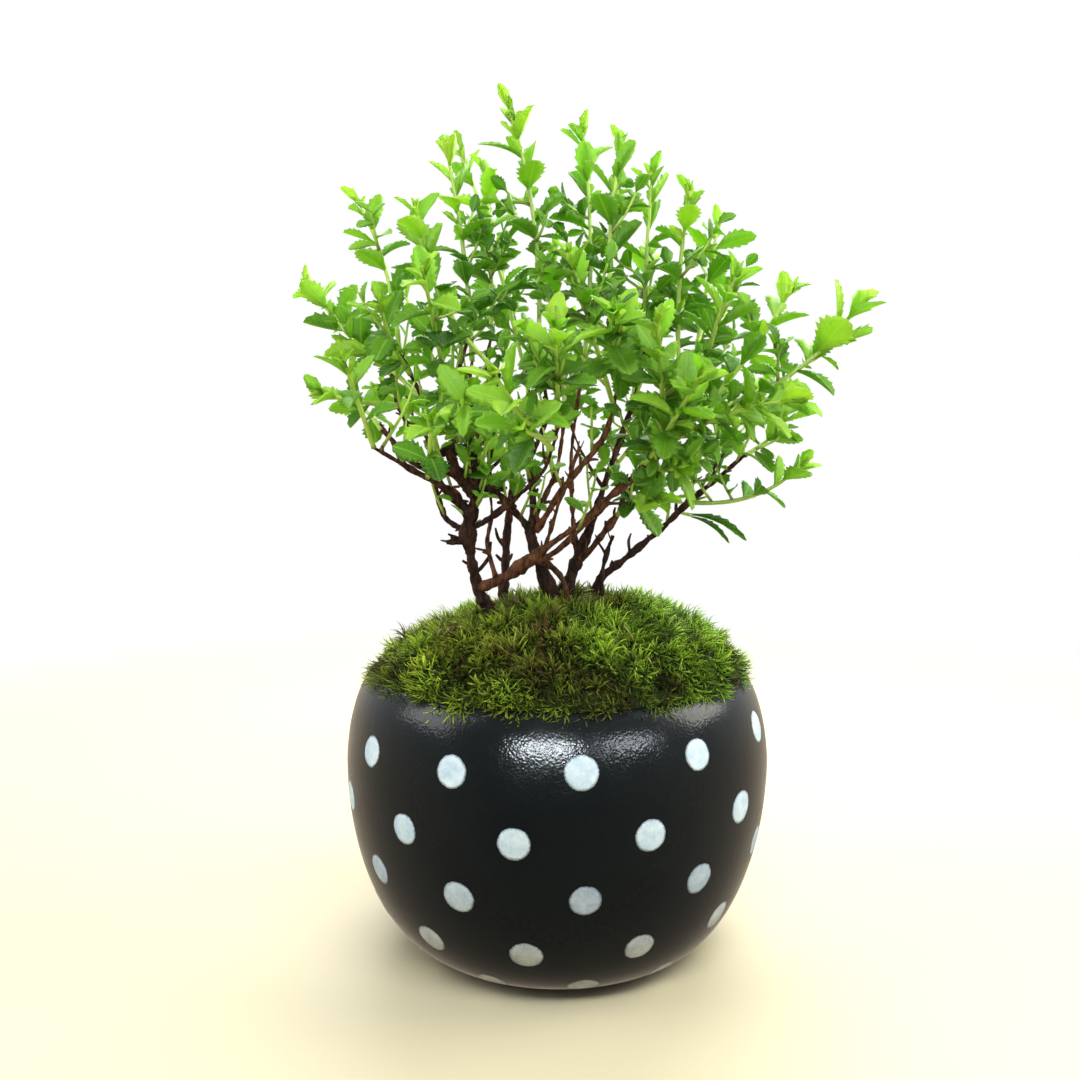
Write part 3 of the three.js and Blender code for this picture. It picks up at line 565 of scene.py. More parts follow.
# Each limb is a list of x, z, depth and radius in millimetres, from its foot to its end.
STEMS = {
    "left": {
        "trunk": [(-11, 52, 3, 2.6), (-13.2, 68, 1, 2.5), (-16.2, 74, -0.6, 2.1),
            (-17.5, 77.2, -1.3, 1.8), (-18.4, 80.5, -2, 1.4), (-19.2, 85, -3, 1.5),
            (-19.7, 90, -3.7, 1.9), (-18.7, 94.5, -4.5, 1.5), (-18, 98.5, -5, 1.2),
            (-17.7, 103, -5.5, 1.05), (-18.9, 108.5, -6, 0.85), (-20.1, 112.4, -6.5, 0.8)],
        "lean": [(-17.2, 77.2, -1.5, 1.5), (-14.3, 78.2, -2.5, 1.3), (-10.5, 80.1, -3.4, 1.5),
            (-7.5, 82.4, -4, 1.65), (-4.6, 84.3, -4.5, 1.5), (-2.4, 86.1, -5, 0.9),
            (0.4, 88.1, -5.6, 0.6), (3.4, 90.2, -6.4, 0.75), (7.9, 93.8, -7.6, 0.8),
            (11.6, 97.3, -8.8, 0.85), (16.2, 101, -10, 0.95), (20.3, 105.5, -11, 0.85),
            (25.3, 110.7, -12.5, 0.7), (31, 116, -14, 0.5)],
        "lean_twin": [(-4.4, 83, -4.7, 0.8), (-0.2, 85.2, -5.3, 0.75), (3.7, 88.8, -6.6, 0.65),
            (8.2, 93, -7.7, 0.5)],
        "low": [(-18.8, 92.8, -4, 1.2), (-24.3, 98.7, -8, 1.05), (-26.8, 100.8, -10, 0.95),
            (-30.3, 102.4, -12, 0.75), (-36.2, 105.8, -15, 0.55), (-40.4, 108.2, -16.5, 0.4)],
        "mid": [(-26, 100.4, -9.6, 0.9), (-28.4, 103, -9, 0.8), (-34, 106.3, -7, 0.6),
            (-35, 108.5, -6, 0.6), (-38.4, 111.8, -4, 0.4)],
        "outer": [(-26.2, 101, -9.8, 0.9), (-27.6, 107, -8, 0.8), (-29, 110.9, -6, 0.75),
            (-32.3, 112.6, -4, 0.65), (-35.3, 118, -2, 0.5), (-36.2, 124, 4, 0.4)],
        "inner": [(-28.8, 110.6, -6, 0.7), (-28.6, 115, -5, 0.65), (-30.5, 121, -5, 0.6),
            (-34.5, 129, -5, 0.4)],
        "arch": [(-18.2, 102.5, -5.3, 1), (-20.2, 106.6, -4.5, 1), (-23.3, 108, -5, 1.1),
            (-25.8, 106.5, -7, 0.9), (-26.8, 103.6, -9, 0.8)],
        "knob": [(-19.4, 88.2, -3.4, 1.2), (-22, 87.5, -4, 0.95), (-24.5, 87.3, -5, 0.6)],
        "cross": [(-18.6, 90.5, -3.6, 0.9), (-14.3, 93, -6, 0.8), (-8, 98, -9, 0.65), (-3, 103, -14, 0.5),
            (-1, 108, -20, 0.45), (0.5, 113, -26, 0.4)],
        "drop": [(-20.3, 90, -3.5, 0.8), (-24.3, 92.2, -3, 0.7), (-25.9, 95.9, -2, 0.65),
            (-26.9, 101, -1, 0.55), (-27, 112, 4, 0.4)],
        "snag_a": [(-23.9, 107.6, -7, 0.9), (-22.4, 103.9, -6, 1.1), (-19.4, 101.3, -5.2, 1.0)],
        "snag_b": [(-25.7, 103.9, -8, 0.9), (-22.8, 102.8, -7, 1.3), (-20.2, 100.2, -6, 1.4),
            (-18.7, 97.9, -5, 1.3)],
        "snag_c": [(-20.9, 108.3, -5, 0.9), (-18.7, 106.1, -4, 1.2), (-17.2, 103.1, -4.5, 1.3),
            (-15.7, 99.4, -4.5, 1.0)],
        "snag_d": [(-24.3, 99.4, -8, 0.8), (-22.1, 97.9, -6, 1.0), (-20.2, 94.9, -4, 1.0)],
        "snag_e": [(-15.7, 99.4, -4.5, 1.0), (-12.7, 97.9, -3, 0.9), (-9.4, 94.9, -1, 0.8)],
        "thin": [(-13.6, 79.6, -3.2, 0.7), (-15.4, 87, 0, 0.5), (-14.4, 94.5, 4, 0.45),
            (-16, 104, 5, 0.4), (-19, 119, 5, 0.4), (-18.6, 127, 5, 0.4)],
        "rise": [(-19.5, 110, -6.2, 0.75), (-21.4, 117, -5, 0.65), (-22.8, 121, -4, 0.6),
            (-25, 125.5, -3, 0.45)],
        "rise_twin": [(-22.6, 120, -4, 0.5), (-22.4, 123.5, -3, 0.45), (-20.5, 128, -2, 0.4),
            (-19.5, 133, -1, 0.35)],
    },
    "upright": {
        "trunk": [(-10.6, 52, 9, 1.6), (-11.8, 73, 7, 1.4), (-11.6, 79, 6.5, 1.2), (-11.3, 86, 6.7, 1.05),
            (-10.2, 97, 7.5, 0.95), (-9.5, 103, 8, 0.85), (-9, 108, 8.5, 0.8), (-14, 119, 10.5, 0.65),
            (-15.3, 126, 11.5, 0.55), (-14.4, 132.6, 12.5, 0.45)],
        "fork": [(-9.2, 106, 8.3, 0.7), (-6.5, 111, 12, 0.6), (-6, 118, 16, 0.5), (-7, 125, 20, 0.4)],
    },
    "middle": {
        "trunk": [(0.5, 52, -1, 2.2), (-0.5, 71, -0.5, 2.1), (-1.2, 76, 0, 1.9), (-3.9, 82.5, 0.6, 1.4),
            (-5.9, 89.5, 1.2, 1.35), (-5.2, 93, 1.5, 1.1), (-5.6, 101, 2.5, 0.75), (-6, 105, 3, 0.7),
            (-2.5, 114, 4, 0.6), (-2.5, 120, 4, 0.5), (-4.2, 127, 3.5, 0.4)],
        "strand": [(3, 52, -3.5, 0.9), (2.2, 76, -2.2, 0.8), (-2.4, 83, -1.3, 0.75),
            (-4.3, 86, -0.3, 0.8)],
        "strand_high": [(-3.4, 84, -1, 0.75), (-1.7, 89, -2, 0.65), (-0.4, 93.1, -3, 0.6),
            (0.8, 97.4, -4, 0.55), (2.2, 100.2, -5, 0.5), (5, 108, -8, 0.4)],
        "up_left": [(-5.8, 90, 1.2, 1), (-8.3, 93, 3, 0.95), (-12, 96.8, 3, 0.9), (-15, 102, 0.5, 0.85),
            (-14.8, 107, 0, 0.8), (-14.2, 112, -1, 0.7), (-12.8, 124.5, -4, 0.5)],
        "up_right": [(-4.9, 92.5, 1.5, 0.85), (-1.5, 99.8, 4.5, 0.7), (0.2, 104, 6, 0.6),
            (1.8, 116, 13, 0.45)],
        "brown": [(-4.6, 89.7, 0.3, 0.9), (0.7, 98, -4, 0.85), (3.3, 101.6, -5.2, 0.8),
            (10.2, 110.3, -7, 0.7), (13, 120, -8.5, 0.5), (13.5, 125, -10, 0.4)],
        "right": [(3, 52, 2.5, 2), (2, 72, 1.8, 2), (2.4, 77, 2.2, 1.9), (4.7, 84, 4, 1.5),
            (7.7, 91.5, 5, 1), (10.5, 100, 6, 0.85), (13.5, 109.2, 7, 0.75), (17.2, 119.4, 8, 0.55),
            (19, 129, 8.5, 0.4)],
        "thin": [(4.5, 84, 4, 0.75), (3.5, 93.4, 6, 0.65), (3.2, 107, 9, 0.55), (4.8, 120, 10.5, 0.45),
            (6, 128, 10, 0.4)],
        "outer": [(5, 83.5, 3.6, 1.1), (7.9, 86.2, 2, 1), (13.5, 93.6, 0, 0.85), (14.9, 97.2, -1, 0.8),
            (20.5, 104.3, -3, 0.7), (24, 108, -3.5, 0.6), (26.3, 113, -4, 0.5), (30, 125.5, -1, 0.4)],
    },
    "right": {
        "trunk": [(8, 52, 10.5, 1.3), (8.3, 72, 9.5, 1.25), (9.2, 78.4, 8.6, 1.15),
            (15.2, 83.7, 8.8, 1.05), (23.6, 90.8, 9.7, 0.95), (28.7, 95.9, 10.3, 0.85),
            (35.2, 101.4, 11.2, 0.65), (41.2, 106.5, 12, 0.45)],
        "fork": [(28.4, 95.6, 10.3, 0.6), (29.6, 99, 12.5, 0.5), (31, 104, 15, 0.4)],
    },
    "stub": {
        "trunk": [(11, 52, 1, 0.8), (10, 75, 1.5, 0.75), (10.2, 81.3, 2, 0.7), (12.4, 88.9, 2.5, 0.55)],
    },
    "back_left": {
        "trunk": [(-9, 52, 15, 1.3), (-11.4, 74, 14, 1.2), (-11.5, 80, 15, 1), (-10.8, 92, 19, 0.8),
            (-9.4, 103, 23, 0.7), (-11, 117, 29, 0.45)],
        "fork": [(-9.6, 102, 22.6, 0.55), (-15, 108, 21, 0.5), (-21, 114, 21, 0.4)],
    },
    "back_right": {
        "trunk": [(3, 52, 14, 1.3), (2.8, 74, 14, 1.2), (4, 81, 15, 1), (7.7, 91.5, 19, 0.8),
            (10.5, 100, 23, 0.7), (15, 112, 28, 0.5), (16.5, 118, 31, 0.4)],
        "fork": [(10.2, 99.4, 22.8, 0.55), (6, 106, 28, 0.5), (3, 113, 33, 0.4)],
    },
}
SLIMMER = 0.78  # for every radius above
REDDISH = {"lean": 0.9, "lean_twin": 0.9, "brown": 1.0, "up_right": 0.6, "thin": 0.7, "outer": 0.5,
           "rise_twin": 0.8, "strand": 0.5, "strand_high": 1.0}
RAGGED = ("arch", "knob", "snag_a", "snag_b", "snag_c", "snag_d", "snag_e")
SPUR_EVERY = 3.4
RAGGED_EVERY = 1.0
SPURS_ABOVE = 0.080
SPUR_REACH = (0.5, 2.2)
TWIG_CHANCE = 0.12
TWIG_REACH = (4, 9)
SPUR_WIDEST, RAGGED_WIDEST = 0.42, 0.6
BARK_STEP = 0.5
BARK_SIDES = 11
FURROW = 1.25
KNOTS = (0.5, 280.0)  # how much they swell, and how close they sit


def chain_mesh(name, chains, **values):
    """A mesh of open chains of edges, each a list of (place, radius), with more values for each chain."""
    places, edges = [], []
    rows = {key: [] for key in ("thick", *values)}
    for number, chain in enumerate(chains):
        first = len(places)
        for place, radius in chain:
            places.append(place)
            rows["thick"].append(radius * MM)
            for key, row in values.items():
                rows[key].append(row[number])
        edges += [(i, i + 1) for i in range(first, len(places) - 1)]
    mesh = bpy.data.meshes.new(name)
    mesh.from_pydata(places, edges, [])
    keep_rows(mesh, "FLOAT", **rows)
    return mesh


def round_rods(group, geometry, sides, step, swelling=0.0, knots=150.0):
    """Turns chains into smooth closed rods of their own thickness, swollen here and there into knots."""
    line = out(node(group, "GeometryNodeMeshToCurve", None, {"Mesh": geometry}))
    bent = out(node(group, "GeometryNodeCurveSplineType", {"spline_type": "CATMULL_ROM"}, {"Curve": line}))
    even = out(node(group, "GeometryNodeResampleCurve", {"mode": "LENGTH"}, {
        "Curve": bent, "Length": step}))
    patches = cloud(group, position(group), knots)
    swell = ranged(group, patches, 0.32, 0.68, 1 - swelling * 0.5, 1 + swelling)
    thick = calc(group, "MULTIPLY", read(group, "thick"), swell)
    ring = out(node(group, "GeometryNodeCurvePrimitiveCircle", None, {"Resolution": sides, "Radius": 1.0}))
    return out(node(group, "GeometryNodeCurveToMesh", None, {
        "Curve": even, "Profile Curve": ring, "Scale": thick, "Fill Caps": True}))


def bark_tree():
    """Rods with furrowed bark, the deeper the thicker the limb."""
    group, given = modifier_tree(
        "bark_on_limbs", ("Sides", "Int", 12), ("Step", "Float", 0.0006), ("Furrow", "Float", 0.0003),
        ("Furrow Size", "Float", 700.0), ("Material", "Material", None))
    rods = round_rods(group, given["Geometry"], given["Sides"], given["Step"], *KNOTS)
    tall = vector(group, "MULTIPLY", position(group), (1, 1, 0.45))
    level = calc(group, "SUBTRACT", cloud(group, tall, given["Furrow Size"], 3.0, 0.6), 0.52)
    share = ranged(group, read(group, "thick"), 0.0003, 0.002, 0.35, 1.7)
    depth = calc(group, "MULTIPLY", calc(group, "MULTIPLY", level, share), given["Furrow"])
    push = vector(group, "SCALE", out(node(group, "GeometryNodeInputNormal")), scale=depth)
    return finish_tree(group, move(group, rods, Offset=push), given["Material"])


def flaking_bark():
    """Dark flakes with lighter ridges, reddish in patches and on the limbs kept as ruddy."""
    finish, tree, shader = new_finish("flaking_bark", Specular_IOR_Level=0.08)
    place = object_place(tree)
    tall = out(node(tree, "ShaderNodeMapping", None, {"Vector": place, "Scale": (1, 1, 0.4)}))
    flakes = cloud(tree, tall, 900, 6, 0.7)
    ridge = ranged(tree, flakes, 0.38, 0.66)
    dark = mix(tree, ridge, (0.013, 0.0055, 0.0035), (0.085, 0.038, 0.026))
    warm = mix(tree, ridge, (0.050, 0.017, 0.008), (0.29, 0.120, 0.055))
    patches = calc(tree, "MULTIPLY_ADD", cloud(tree, place, 230, 3), 1.1, -0.5, clamp=True)
    amount = calc(tree, "ADD", patches, kept(tree, "ruddy"), clamp=True)
    amount = calc(tree, "MULTIPLY", amount, 0.85, clamp=True)
    tree.links.new(mix(tree, amount, dark, warm), shader.inputs["Base Color"])
    tree.links.new(ranged(tree, flakes, to_low=0.6, to_high=0.95), shader.inputs["Roughness"])
    emboss(tree, shader, flakes, 0.8, 0.35)
    return finish


def stem_chains(limbs, hand):
    """The limbs of one stem, with short spurs and a few dry twigs on them."""
    chains, ruddy = [], []
    for label, limb in limbs.items():
        line = [(seen(x, z, depth), radius * SLIMMER) for x, z, depth, radius in limb]
        tone = REDDISH.get(label, 0.0)
        ragged = label in RAGGED
        every = RAGGED_EVERY if ragged else SPUR_EVERY
        chains.append(line)
        ruddy.append(tone)
        run = 0.0
        for (a, thick_a), (b, thick_b) in zip(line, line[1:]):
            run += (b - a).length / MM
            while run > every:
                run -= every * hand.uniform(0.6, 1.5)
                share = hand.uniform(0.1, 0.9)
                foot = a.lerp(b, share)
                if foot.z < SPURS_ABOVE:
                    continue
                along = (b - a).normalized()
                turn = Vector((hand.uniform(-1, 1), hand.uniform(-1, 1), hand.uniform(-0.3, 1)))
                turn.normalize()
                aside = (turn - along * turn.dot(along)).normalized()
                thick = thick_a + (thick_b - thick_a) * share
                dry_twig = not ragged and hand.random() < TWIG_CHANCE
                reach = hand.uniform(*(TWIG_REACH if dry_twig else SPUR_REACH))
                end = foot + (aside * 0.8 + along * 0.7) * (thick + reach) * MM
                bend = foot.lerp(end, 0.5) + turn * 0.2 * reach * MM
                width = min(thick * 0.6, RAGGED_WIDEST if ragged else SPUR_WIDEST)
                chains.append([(foot, width), (bend, width * 0.85), (end, width * 0.5)])
                ruddy.append(min(1.0, tone + hand.uniform(0, 0.6)))
    return chains, ruddy


bark = flaking_bark()
bark_group = bark_tree()
pruning = random.Random(11)
for name, limbs in STEMS.items():
    chains, ruddy = stem_chains(limbs, pruning)
    stem = grow("bark_" + name, chain_mesh(name, chains, ruddy=ruddy), bark_group, Sides=BARK_SIDES,
                Step=BARK_STEP * MM, Furrow=FURROW * MM, Furrow_Size=560.0, Material=bark)
    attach(stem, "root")
    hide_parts("stem_" + name)


# The season's shoots stand on the twig ends: soft pale stems, each with a spiral of small toothed leaves,
# broad above the middle and wedge-shaped below, and a tuft of narrow young leaves at its tip.
SHOOT_RADIUS = (0.62, 0.34)
TWIG_RADIUS = (0.36, 0.22)
SHOOT_GAP = 0.3
SHOOT_STEPS = 4
GOLDEN_ANGLE = 2.4
RIB_DEPTH = 0.03
FIRST_TOOTH, LAST_TOOTH, TOOTH_LENGTH = 0.36, 0.93, 0.03  # along the blade
BELOW_TEETH = (0.0, 0.15, 0.27)
GROWN_FORMS = (0, 0, 1, 1, 2, 3)
TWIG_FORMS = (0, 1, 3, 5, 5)
AXIL_FORMS = (4, 5, 5)
AXIL_TURNS = (-1.1, -0.7, 0.6, 1.0)
TIP_FORM = 5
YOUNG_FORM = 4
TUFT_LEAVES = 4
# Painted shade in the crown: leaf tones are cut near its heart, darkest within the first distance and
# fading out over the second.
HEART = Vector((0.002, 0.004, 0.128))
PAINTED_SHADE_WITHIN, PAINTED_SHADE_FADE = 14, 34
TWIGS_LEAN_TO = Vector((0, 0.003, 0.13))

# Each shoot has the limb that it grows on, its place along the limb, its tip as seen from the front with
# its depth, how far its middle bows sideways and up, its leaves, its largest leaf and its bare share.
SHOOTS = {
    "leftmost": ("left.outer", 1, (-54.2, 143.2, 26), (-2, 0), 10, 8.6, 0.2),
    "left_high": ("left.inner", 1, (-42.7, 160.5, 8), (3, 2), 9, 8.4, 0.2),
    "left_tuft": ("left.inner", 0.8, (-38.5, 139.5, -16), (-2, 0), 8, 8, 0.15),
    "left_diagonal": ("middle.up_left", 1, (-30.5, 158.5, -16), (-6, -3), 8, 8.6, 0.55),
    "left_crest": ("left.thin", 1, (-23.8, 172, 3), (2, 0), 12, 8.4, 0.2),
    "left_dark": ("upright.trunk", 1, (-15.5, 167, 20), (1, 0), 10, 8.4, 0.2),
    "left_spear": ("upright.fork", 1, (-20.3, 170.5, 34), (0, 6), 9, 8, 0.3),
    "top_left": ("middle.trunk", 1, (-10.4, 180.5, 0), (5, 3), 12, 9, 0.25),
    "top_middle": ("middle.thin", 1, (5.5, 175.5, 10), (3, 0), 12, 9, 0.2),
    "top_right": ("middle.brown", 1, (13.6, 172.5, -8), (-4, 2), 11, 8.4, 0.25),
    "right_crest": ("middle.right", 1, (20.5, 166.5, 4), (-1, 0), 11, 8.6, 0.2),
    "right_yellow": ("middle.outer", 0.9, (28.5, 162, -10), (-3, 2), 10, 8.2, 0.25),
    "right_middle": ("middle.outer", 1, (34.5, 155, 12), (0, 2), 10, 8.6, 0.2),
    "right_low_crest": ("left.lean", 1, (38.8, 145, -24), (-2, 2), 9, 8.4, 0.2),
    "right_arm": ("left.lean", 0.95, (50.5, 142, -2), (1, -4), 10, 9, 0.25),
    "rightmost": ("left.lean", 1, (65, 138.5, -18), (5, -6), 10, 9.6, 0.3),
    "right_droop": ("left.lean", 0.88, (52, 118.5, -27), (0, 4), 9, 9.4, 0.25),
    "right_side": ("right.trunk", 1, (51, 117, 22), (2, -2), 8, 8.2, 0.1),
    "right_low": ("right.trunk", 0.72, (53.5, 104.2, 4), (4, -5), 7, 7.6, 0.4),
    "right_low_back": ("right.fork", 1, (45, 122, 36), (2, -2), 10, 8.6, 0.15),
    "low_front": ("middle.outer", 0.28, (21.5, 97, -11), (0, 1), 5, 8.6, 0.4),
    "low_inner": ("middle.outer", 0.55, (29, 104.5, -24), (0, -1), 6, 8.2, 0.3),
    "left_low_out": ("left.outer", 0.78, (-51.5, 120, -14), (0, -1), 5, 8.4, 0.35),
    "left_low_up": ("left.low", 1, (-46.5, 126.5, -28), (0, 0), 6, 8, 0.3),
    "left_droop": ("left.mid", 1, (-44.5, 117.5, 10), (0, 2), 4, 7.6, 0.35),
    "left_middle": ("left.inner", 0.55, (-46.5, 131.5, 12), (1, 2), 6, 8.2, 0.3),
    "left_front": ("left.low", 0.5, (-27.5, 114.5, -34), (0, -1), 5, 8.4, 0.3),
    "left_inner": ("left.trunk", 1, (-20, 119, -28), (0, 0), 5, 8.6, 0.4),
    "front_middle": ("left.cross", 1, (-0.4, 134.5, -47), (0, 0), 11, 8.8, 0.2),
    "front_right": ("middle.brown", 0.9, (12.2, 137.5, -40), (0, -2), 11, 8.8, 0.25),
    "front_far_right": ("left.lean", 0.9, (22, 135.5, -38), (0, 0), 11, 8.8, 0.2),
    "front_left": ("left.cross", 0.8, (-13.5, 124, -48), (0, -2), 8, 8.8, 0.35),
    "front_low": ("left.cross", 0.9, (-8, 113, -42), (0, -2), 5, 9, 0.5),
    "front_side": ("left.lean", 0.83, (31, 123.5, -42), (0, -1), 11, 8.8, 0.2),
    "inner_middle": ("middle.up_right", 1, (-0.5, 150, 20), (0, 0), 9, 8.6, 0.2),
    "inner_front": ("middle.brown", 0.75, (3, 149, -24), (0, 0), 10, 8.6, 0.3),
    "inner_left": ("left.rise", 1, (-29, 146, -28), (0, 0), 9, 8.6, 0.2),
    "back_left": ("back_left.trunk", 1, (-12, 151, 43), (0, 0), 11, 8.6, 0.15),
    "back_far_left": ("back_left.fork", 1, (-34, 143, 36), (0, 0), 11, 8.6, 0.15),
    "back_right": ("back_right.trunk", 1, (20, 150, 42), (0, 0), 11, 8.6, 0.15),
    "back_middle": ("back_right.fork", 1, (3, 134, 49.5), (0, 0), 9, 8.8, 0.15),
    "back_low_left": ("back_left.trunk", 0.8, (-18, 121, 50), (0, -2), 9, 8.6, 0.2),
    "back_low_right": ("back_right.trunk", 0.7, (25, 122, 48), (0, -2), 9, 8.6, 0.2),
    "back_side_left": ("back_left.fork", 0.6, (-39, 121, 30), (0, -2), 9, 8.4, 0.2),
    "back_side_right": ("right.fork", 0.7, (35, 139, 32), (0, 0), 9, 8.6, 0.2),
}
SPEARS = {"left_spear": (0, 8), "top_left": (3.5, 7.5)}  # how far below the tip, and how long


def chance(seed):
    """A repeatable number from 0 to 1 for each seed."""
    wave = math.sin(seed * 12.9898) * 43758.5453
    return wave - math.floor(wave)


def along_limb(limb, share):
    """A point on a limb at a share of its length, and its radius there."""
    at = share * (len(limb) - 1)
    low = min(int(at), len(limb) - 2)
    x, z, depth, radius = (a + (b - a) * (at - low) for a, b in zip(limb[low], limb[low + 1]))
    return seen(x, z, depth), radius


def shoot_axis(limb, share, tip, bow):
    """Points on a shoot's bowed axis in even steps from the bark to its tip, and its root in the bark."""
    root, radius = along_limb(limb, share)
    end = seen(*tip)
    middle = root.lerp(end, 0.5) + Vector((bow[0], 0, bow[1])) * MM
    foot = root + (middle - root).normalized() * (radius + SHOOT_GAP) * MM
    points = []
    for i in range(SHOOT_STEPS + 1):
        t = i / SHOOT_STEPS
        points.append(foot * (1 - t) ** 2 + middle * 2 * t * (1 - t) + end * t * t)
    return root, points


def on_axis(points, at):
    """The place and the direction on an axis at a number of steps from its foot."""
    step = min(int(at), SHOOT_STEPS - 1)
    return points[step].lerp(points[step + 1], at - step), (points[step + 1] - points[step]).normalized()


def leaf_places(points, leaves, size, bare, number):
    """For each leaf of a shoot: its foot, the shoot's direction there, its blade's and its upper side's
    directions, its length and width, and how far up the shoot it stands."""
    for k in range(leaves):
        share = k / (leaves - 1)
        seed = number * 31 + k
        foot, along = on_axis(points, (bare + (1 - bare) * (0.02 + 0.97 * share)) * SHOOT_STEPS)
        side = along.cross(Vector((0.9, 0.35, -0.25))).normalized()
        other = along.cross(side)
        turn = k * GOLDEN_ANGLE + chance(seed) * 0.7 + number
        outward = side * math.cos(turn) + other * math.sin(turn)
        pitch = 1.22 - 0.75 * share ** 1.6 + 0.25 * (chance(seed + 0.3) - 0.5)
        towards = along * math.cos(pitch) + outward * math.sin(pitch)
        sky = along * 0.8 + Vector((0, 0, 0.5))
        upper = (sky - towards * sky.dot(towards)).normalized()
        fullness = 0.72 + 0.38 * math.sin(math.pi * (0.12 + 0.66 * share)) - 0.3 * share ** 6
        length = size * fullness * (0.9 + 0.2 * chance(seed + 0.6))
        yield foot, along, towards, upper, length, length * (0.56 - 0.12 * share), share


def blade_half_width(t, widest):
    """Half the width of a unit leaf at t of its length: a wedge up to its widest place, then an arch."""
    if t < widest:
        return 0.5 * (0.08 + 0.92 * math.sin(t / widest * math.pi / 2) ** 1.5)
    return 0.5 * math.cos((t - widest) / (1 - widest) * math.pi / 2) ** 0.64


def leaf_blade(name, teeth, widest, fold, arch, twist, depth, full):
    """One leaf of unit length along X and unit width: a closed thin blade with a toothed margin. A full one
    has a row of points between rib and margin, which rounds each half of the blade a little upwards."""
    stations = [(t, 1.0) for t in BELOW_TEETH]
    for i in range(teeth):
        tip = FIRST_TOOTH + (LAST_TOOTH - FIRST_TOOTH) * i / (teeth - 1)
        stations += [(tip, 1.06), (tip + TOOTH_LENGTH, 1 - depth)]
    points, blade, faces = [], [], []

    def point(t, across, half, lift=0.0):
        side = across * half
        bulge = 0.16 * half * (1 - abs(2 * abs(across) - 1)) if full else 0.0
        height = fold * abs(side) + bulge - arch * t * t + lift
        cos, sin = math.cos(twist * t), math.sin(twist * t)
        points.append((t, side * cos - height * sin, side * sin + height * cos))
        blade.append((t, side * 2, 0))
        return len(points) - 1

    columns = (-1, -0.5, 0, 0.5, 1) if full else (-1, 0, 1)
    rows, under = [], []
    for t, share in stations:
        half = blade_half_width(t, widest) * share
        rows.append([point(t, across, half) for across in columns])
        under.append(point(t, 0, half, -RIB_DEPTH * (1 - 0.7 * t)))
    apex = point(1.0, 0, 0)
    for row, after, low, low_after in zip(rows, rows[1:], under, under[1:]):
        for i in range(len(columns) - 1):
            faces.append((row[i], after[i], after[i + 1], row[i + 1]))
        faces.append((row[0], low, low_after, after[0]))
        faces.append((low, row[-1], after[-1], low_after))
    row, low = rows[-1], under[-1]
    for i in range(len(columns) - 1):
        faces.append((row[i], apex, row[i + 1]))
    faces += [(row[0], low, apex), (low, row[-1], apex)]
    faces.append((*rows[0], under[0]))
    mesh = bpy.data.meshes.new(name)
    mesh.from_pydata(points, [], [tuple(reversed(face)) for face in faces])
    keep_rows(mesh, "FLOAT_VECTOR", blade=blade)
    return bpy.data.objects.new(name, mesh)


def leaf_forms():
    """The leaf's forms, kept together for the shoots to pick from by number."""
    forms = bpy.data.collections.new("leaf_forms")
    for name, *habit in [  # teeth, widest place, fold, arch, twist, depth of teeth, full
        ("leaf_0_broad", 5, 0.58, 0.16, 0.10, 0.0, 0.2, True),
        ("leaf_1_arched", 5, 0.57, 0.28, 0.26, 0.25, 0.2, True),
        ("leaf_2_cupped", 4, 0.57, 0.42, -0.12, -0.2, 0.17, True),
        ("leaf_3_drooping", 5, 0.56, 0.10, 0.42, -0.35, 0.2, True),
        ("leaf_4_young", 3, 0.52, 0.40, 0.02, 0.3, 0.08, False),
        ("leaf_5_small", 3, 0.56, 0.24, 0.16, 0.2, 0.11, False),
    ]:
        forms.objects.link(leaf_blade(name, *habit))
    return forms


def instances(group, points, forms, number, rotation, size):
    """Sets one of a collection's forms, picked by its number, on each point."""
    form = out(node(group, "GeometryNodeCollectionInfo", None, {
        "Collection": forms, "Separate Children": True, "Reset Children": True}))
    return out(node(group, "GeometryNodeInstanceOnPoints", None, {
        "Points": points, "Instance": form, "Pick Instance": True, "Instance Index": number,
        "Rotation": rotation, "Scale": size}))


def shoot_tree():
    """Rods for the green stems, and a leaf of the form, turn and size kept on each leaf's point."""
    group, given = modifier_tree(
        "leafy_shoot", ("Leaves", "Collection", None), ("Sides", "Int", 8), ("Step", "Float", 0.0008),
        ("Material", "Material", None))
    split = node(group, "GeometryNodeSeparateGeometry", {"domain": "POINT"}, {
        "Geometry": given["Geometry"], "Selection": read(group, "is_leaf", "BOOLEAN")})
    rods = round_rods(group, out(split, "Inverted"), given["Sides"], given["Step"], 0.18, 400.0)
    turned = read(group, "turned", "FLOAT_VECTOR")
    turned = out(node(group, "FunctionNodeEulerToRotation", None, {0: turned}))
    leaves = instances(group, out(split, "Selection"), given["Leaves"], read(group, "form", "INT"), turned,
                       read(group, "spread", "FLOAT_VECTOR"))
    leaves = keep(group, leaves, "foliage", 1.0, "INSTANCE")
    whole = node(group, "GeometryNodeJoinGeometry")
    group.links.new(rods, whole.inputs[0])
    group.links.new(leaves, whole.inputs[0])
    return finish_tree(group, out(whole), given["Material"])


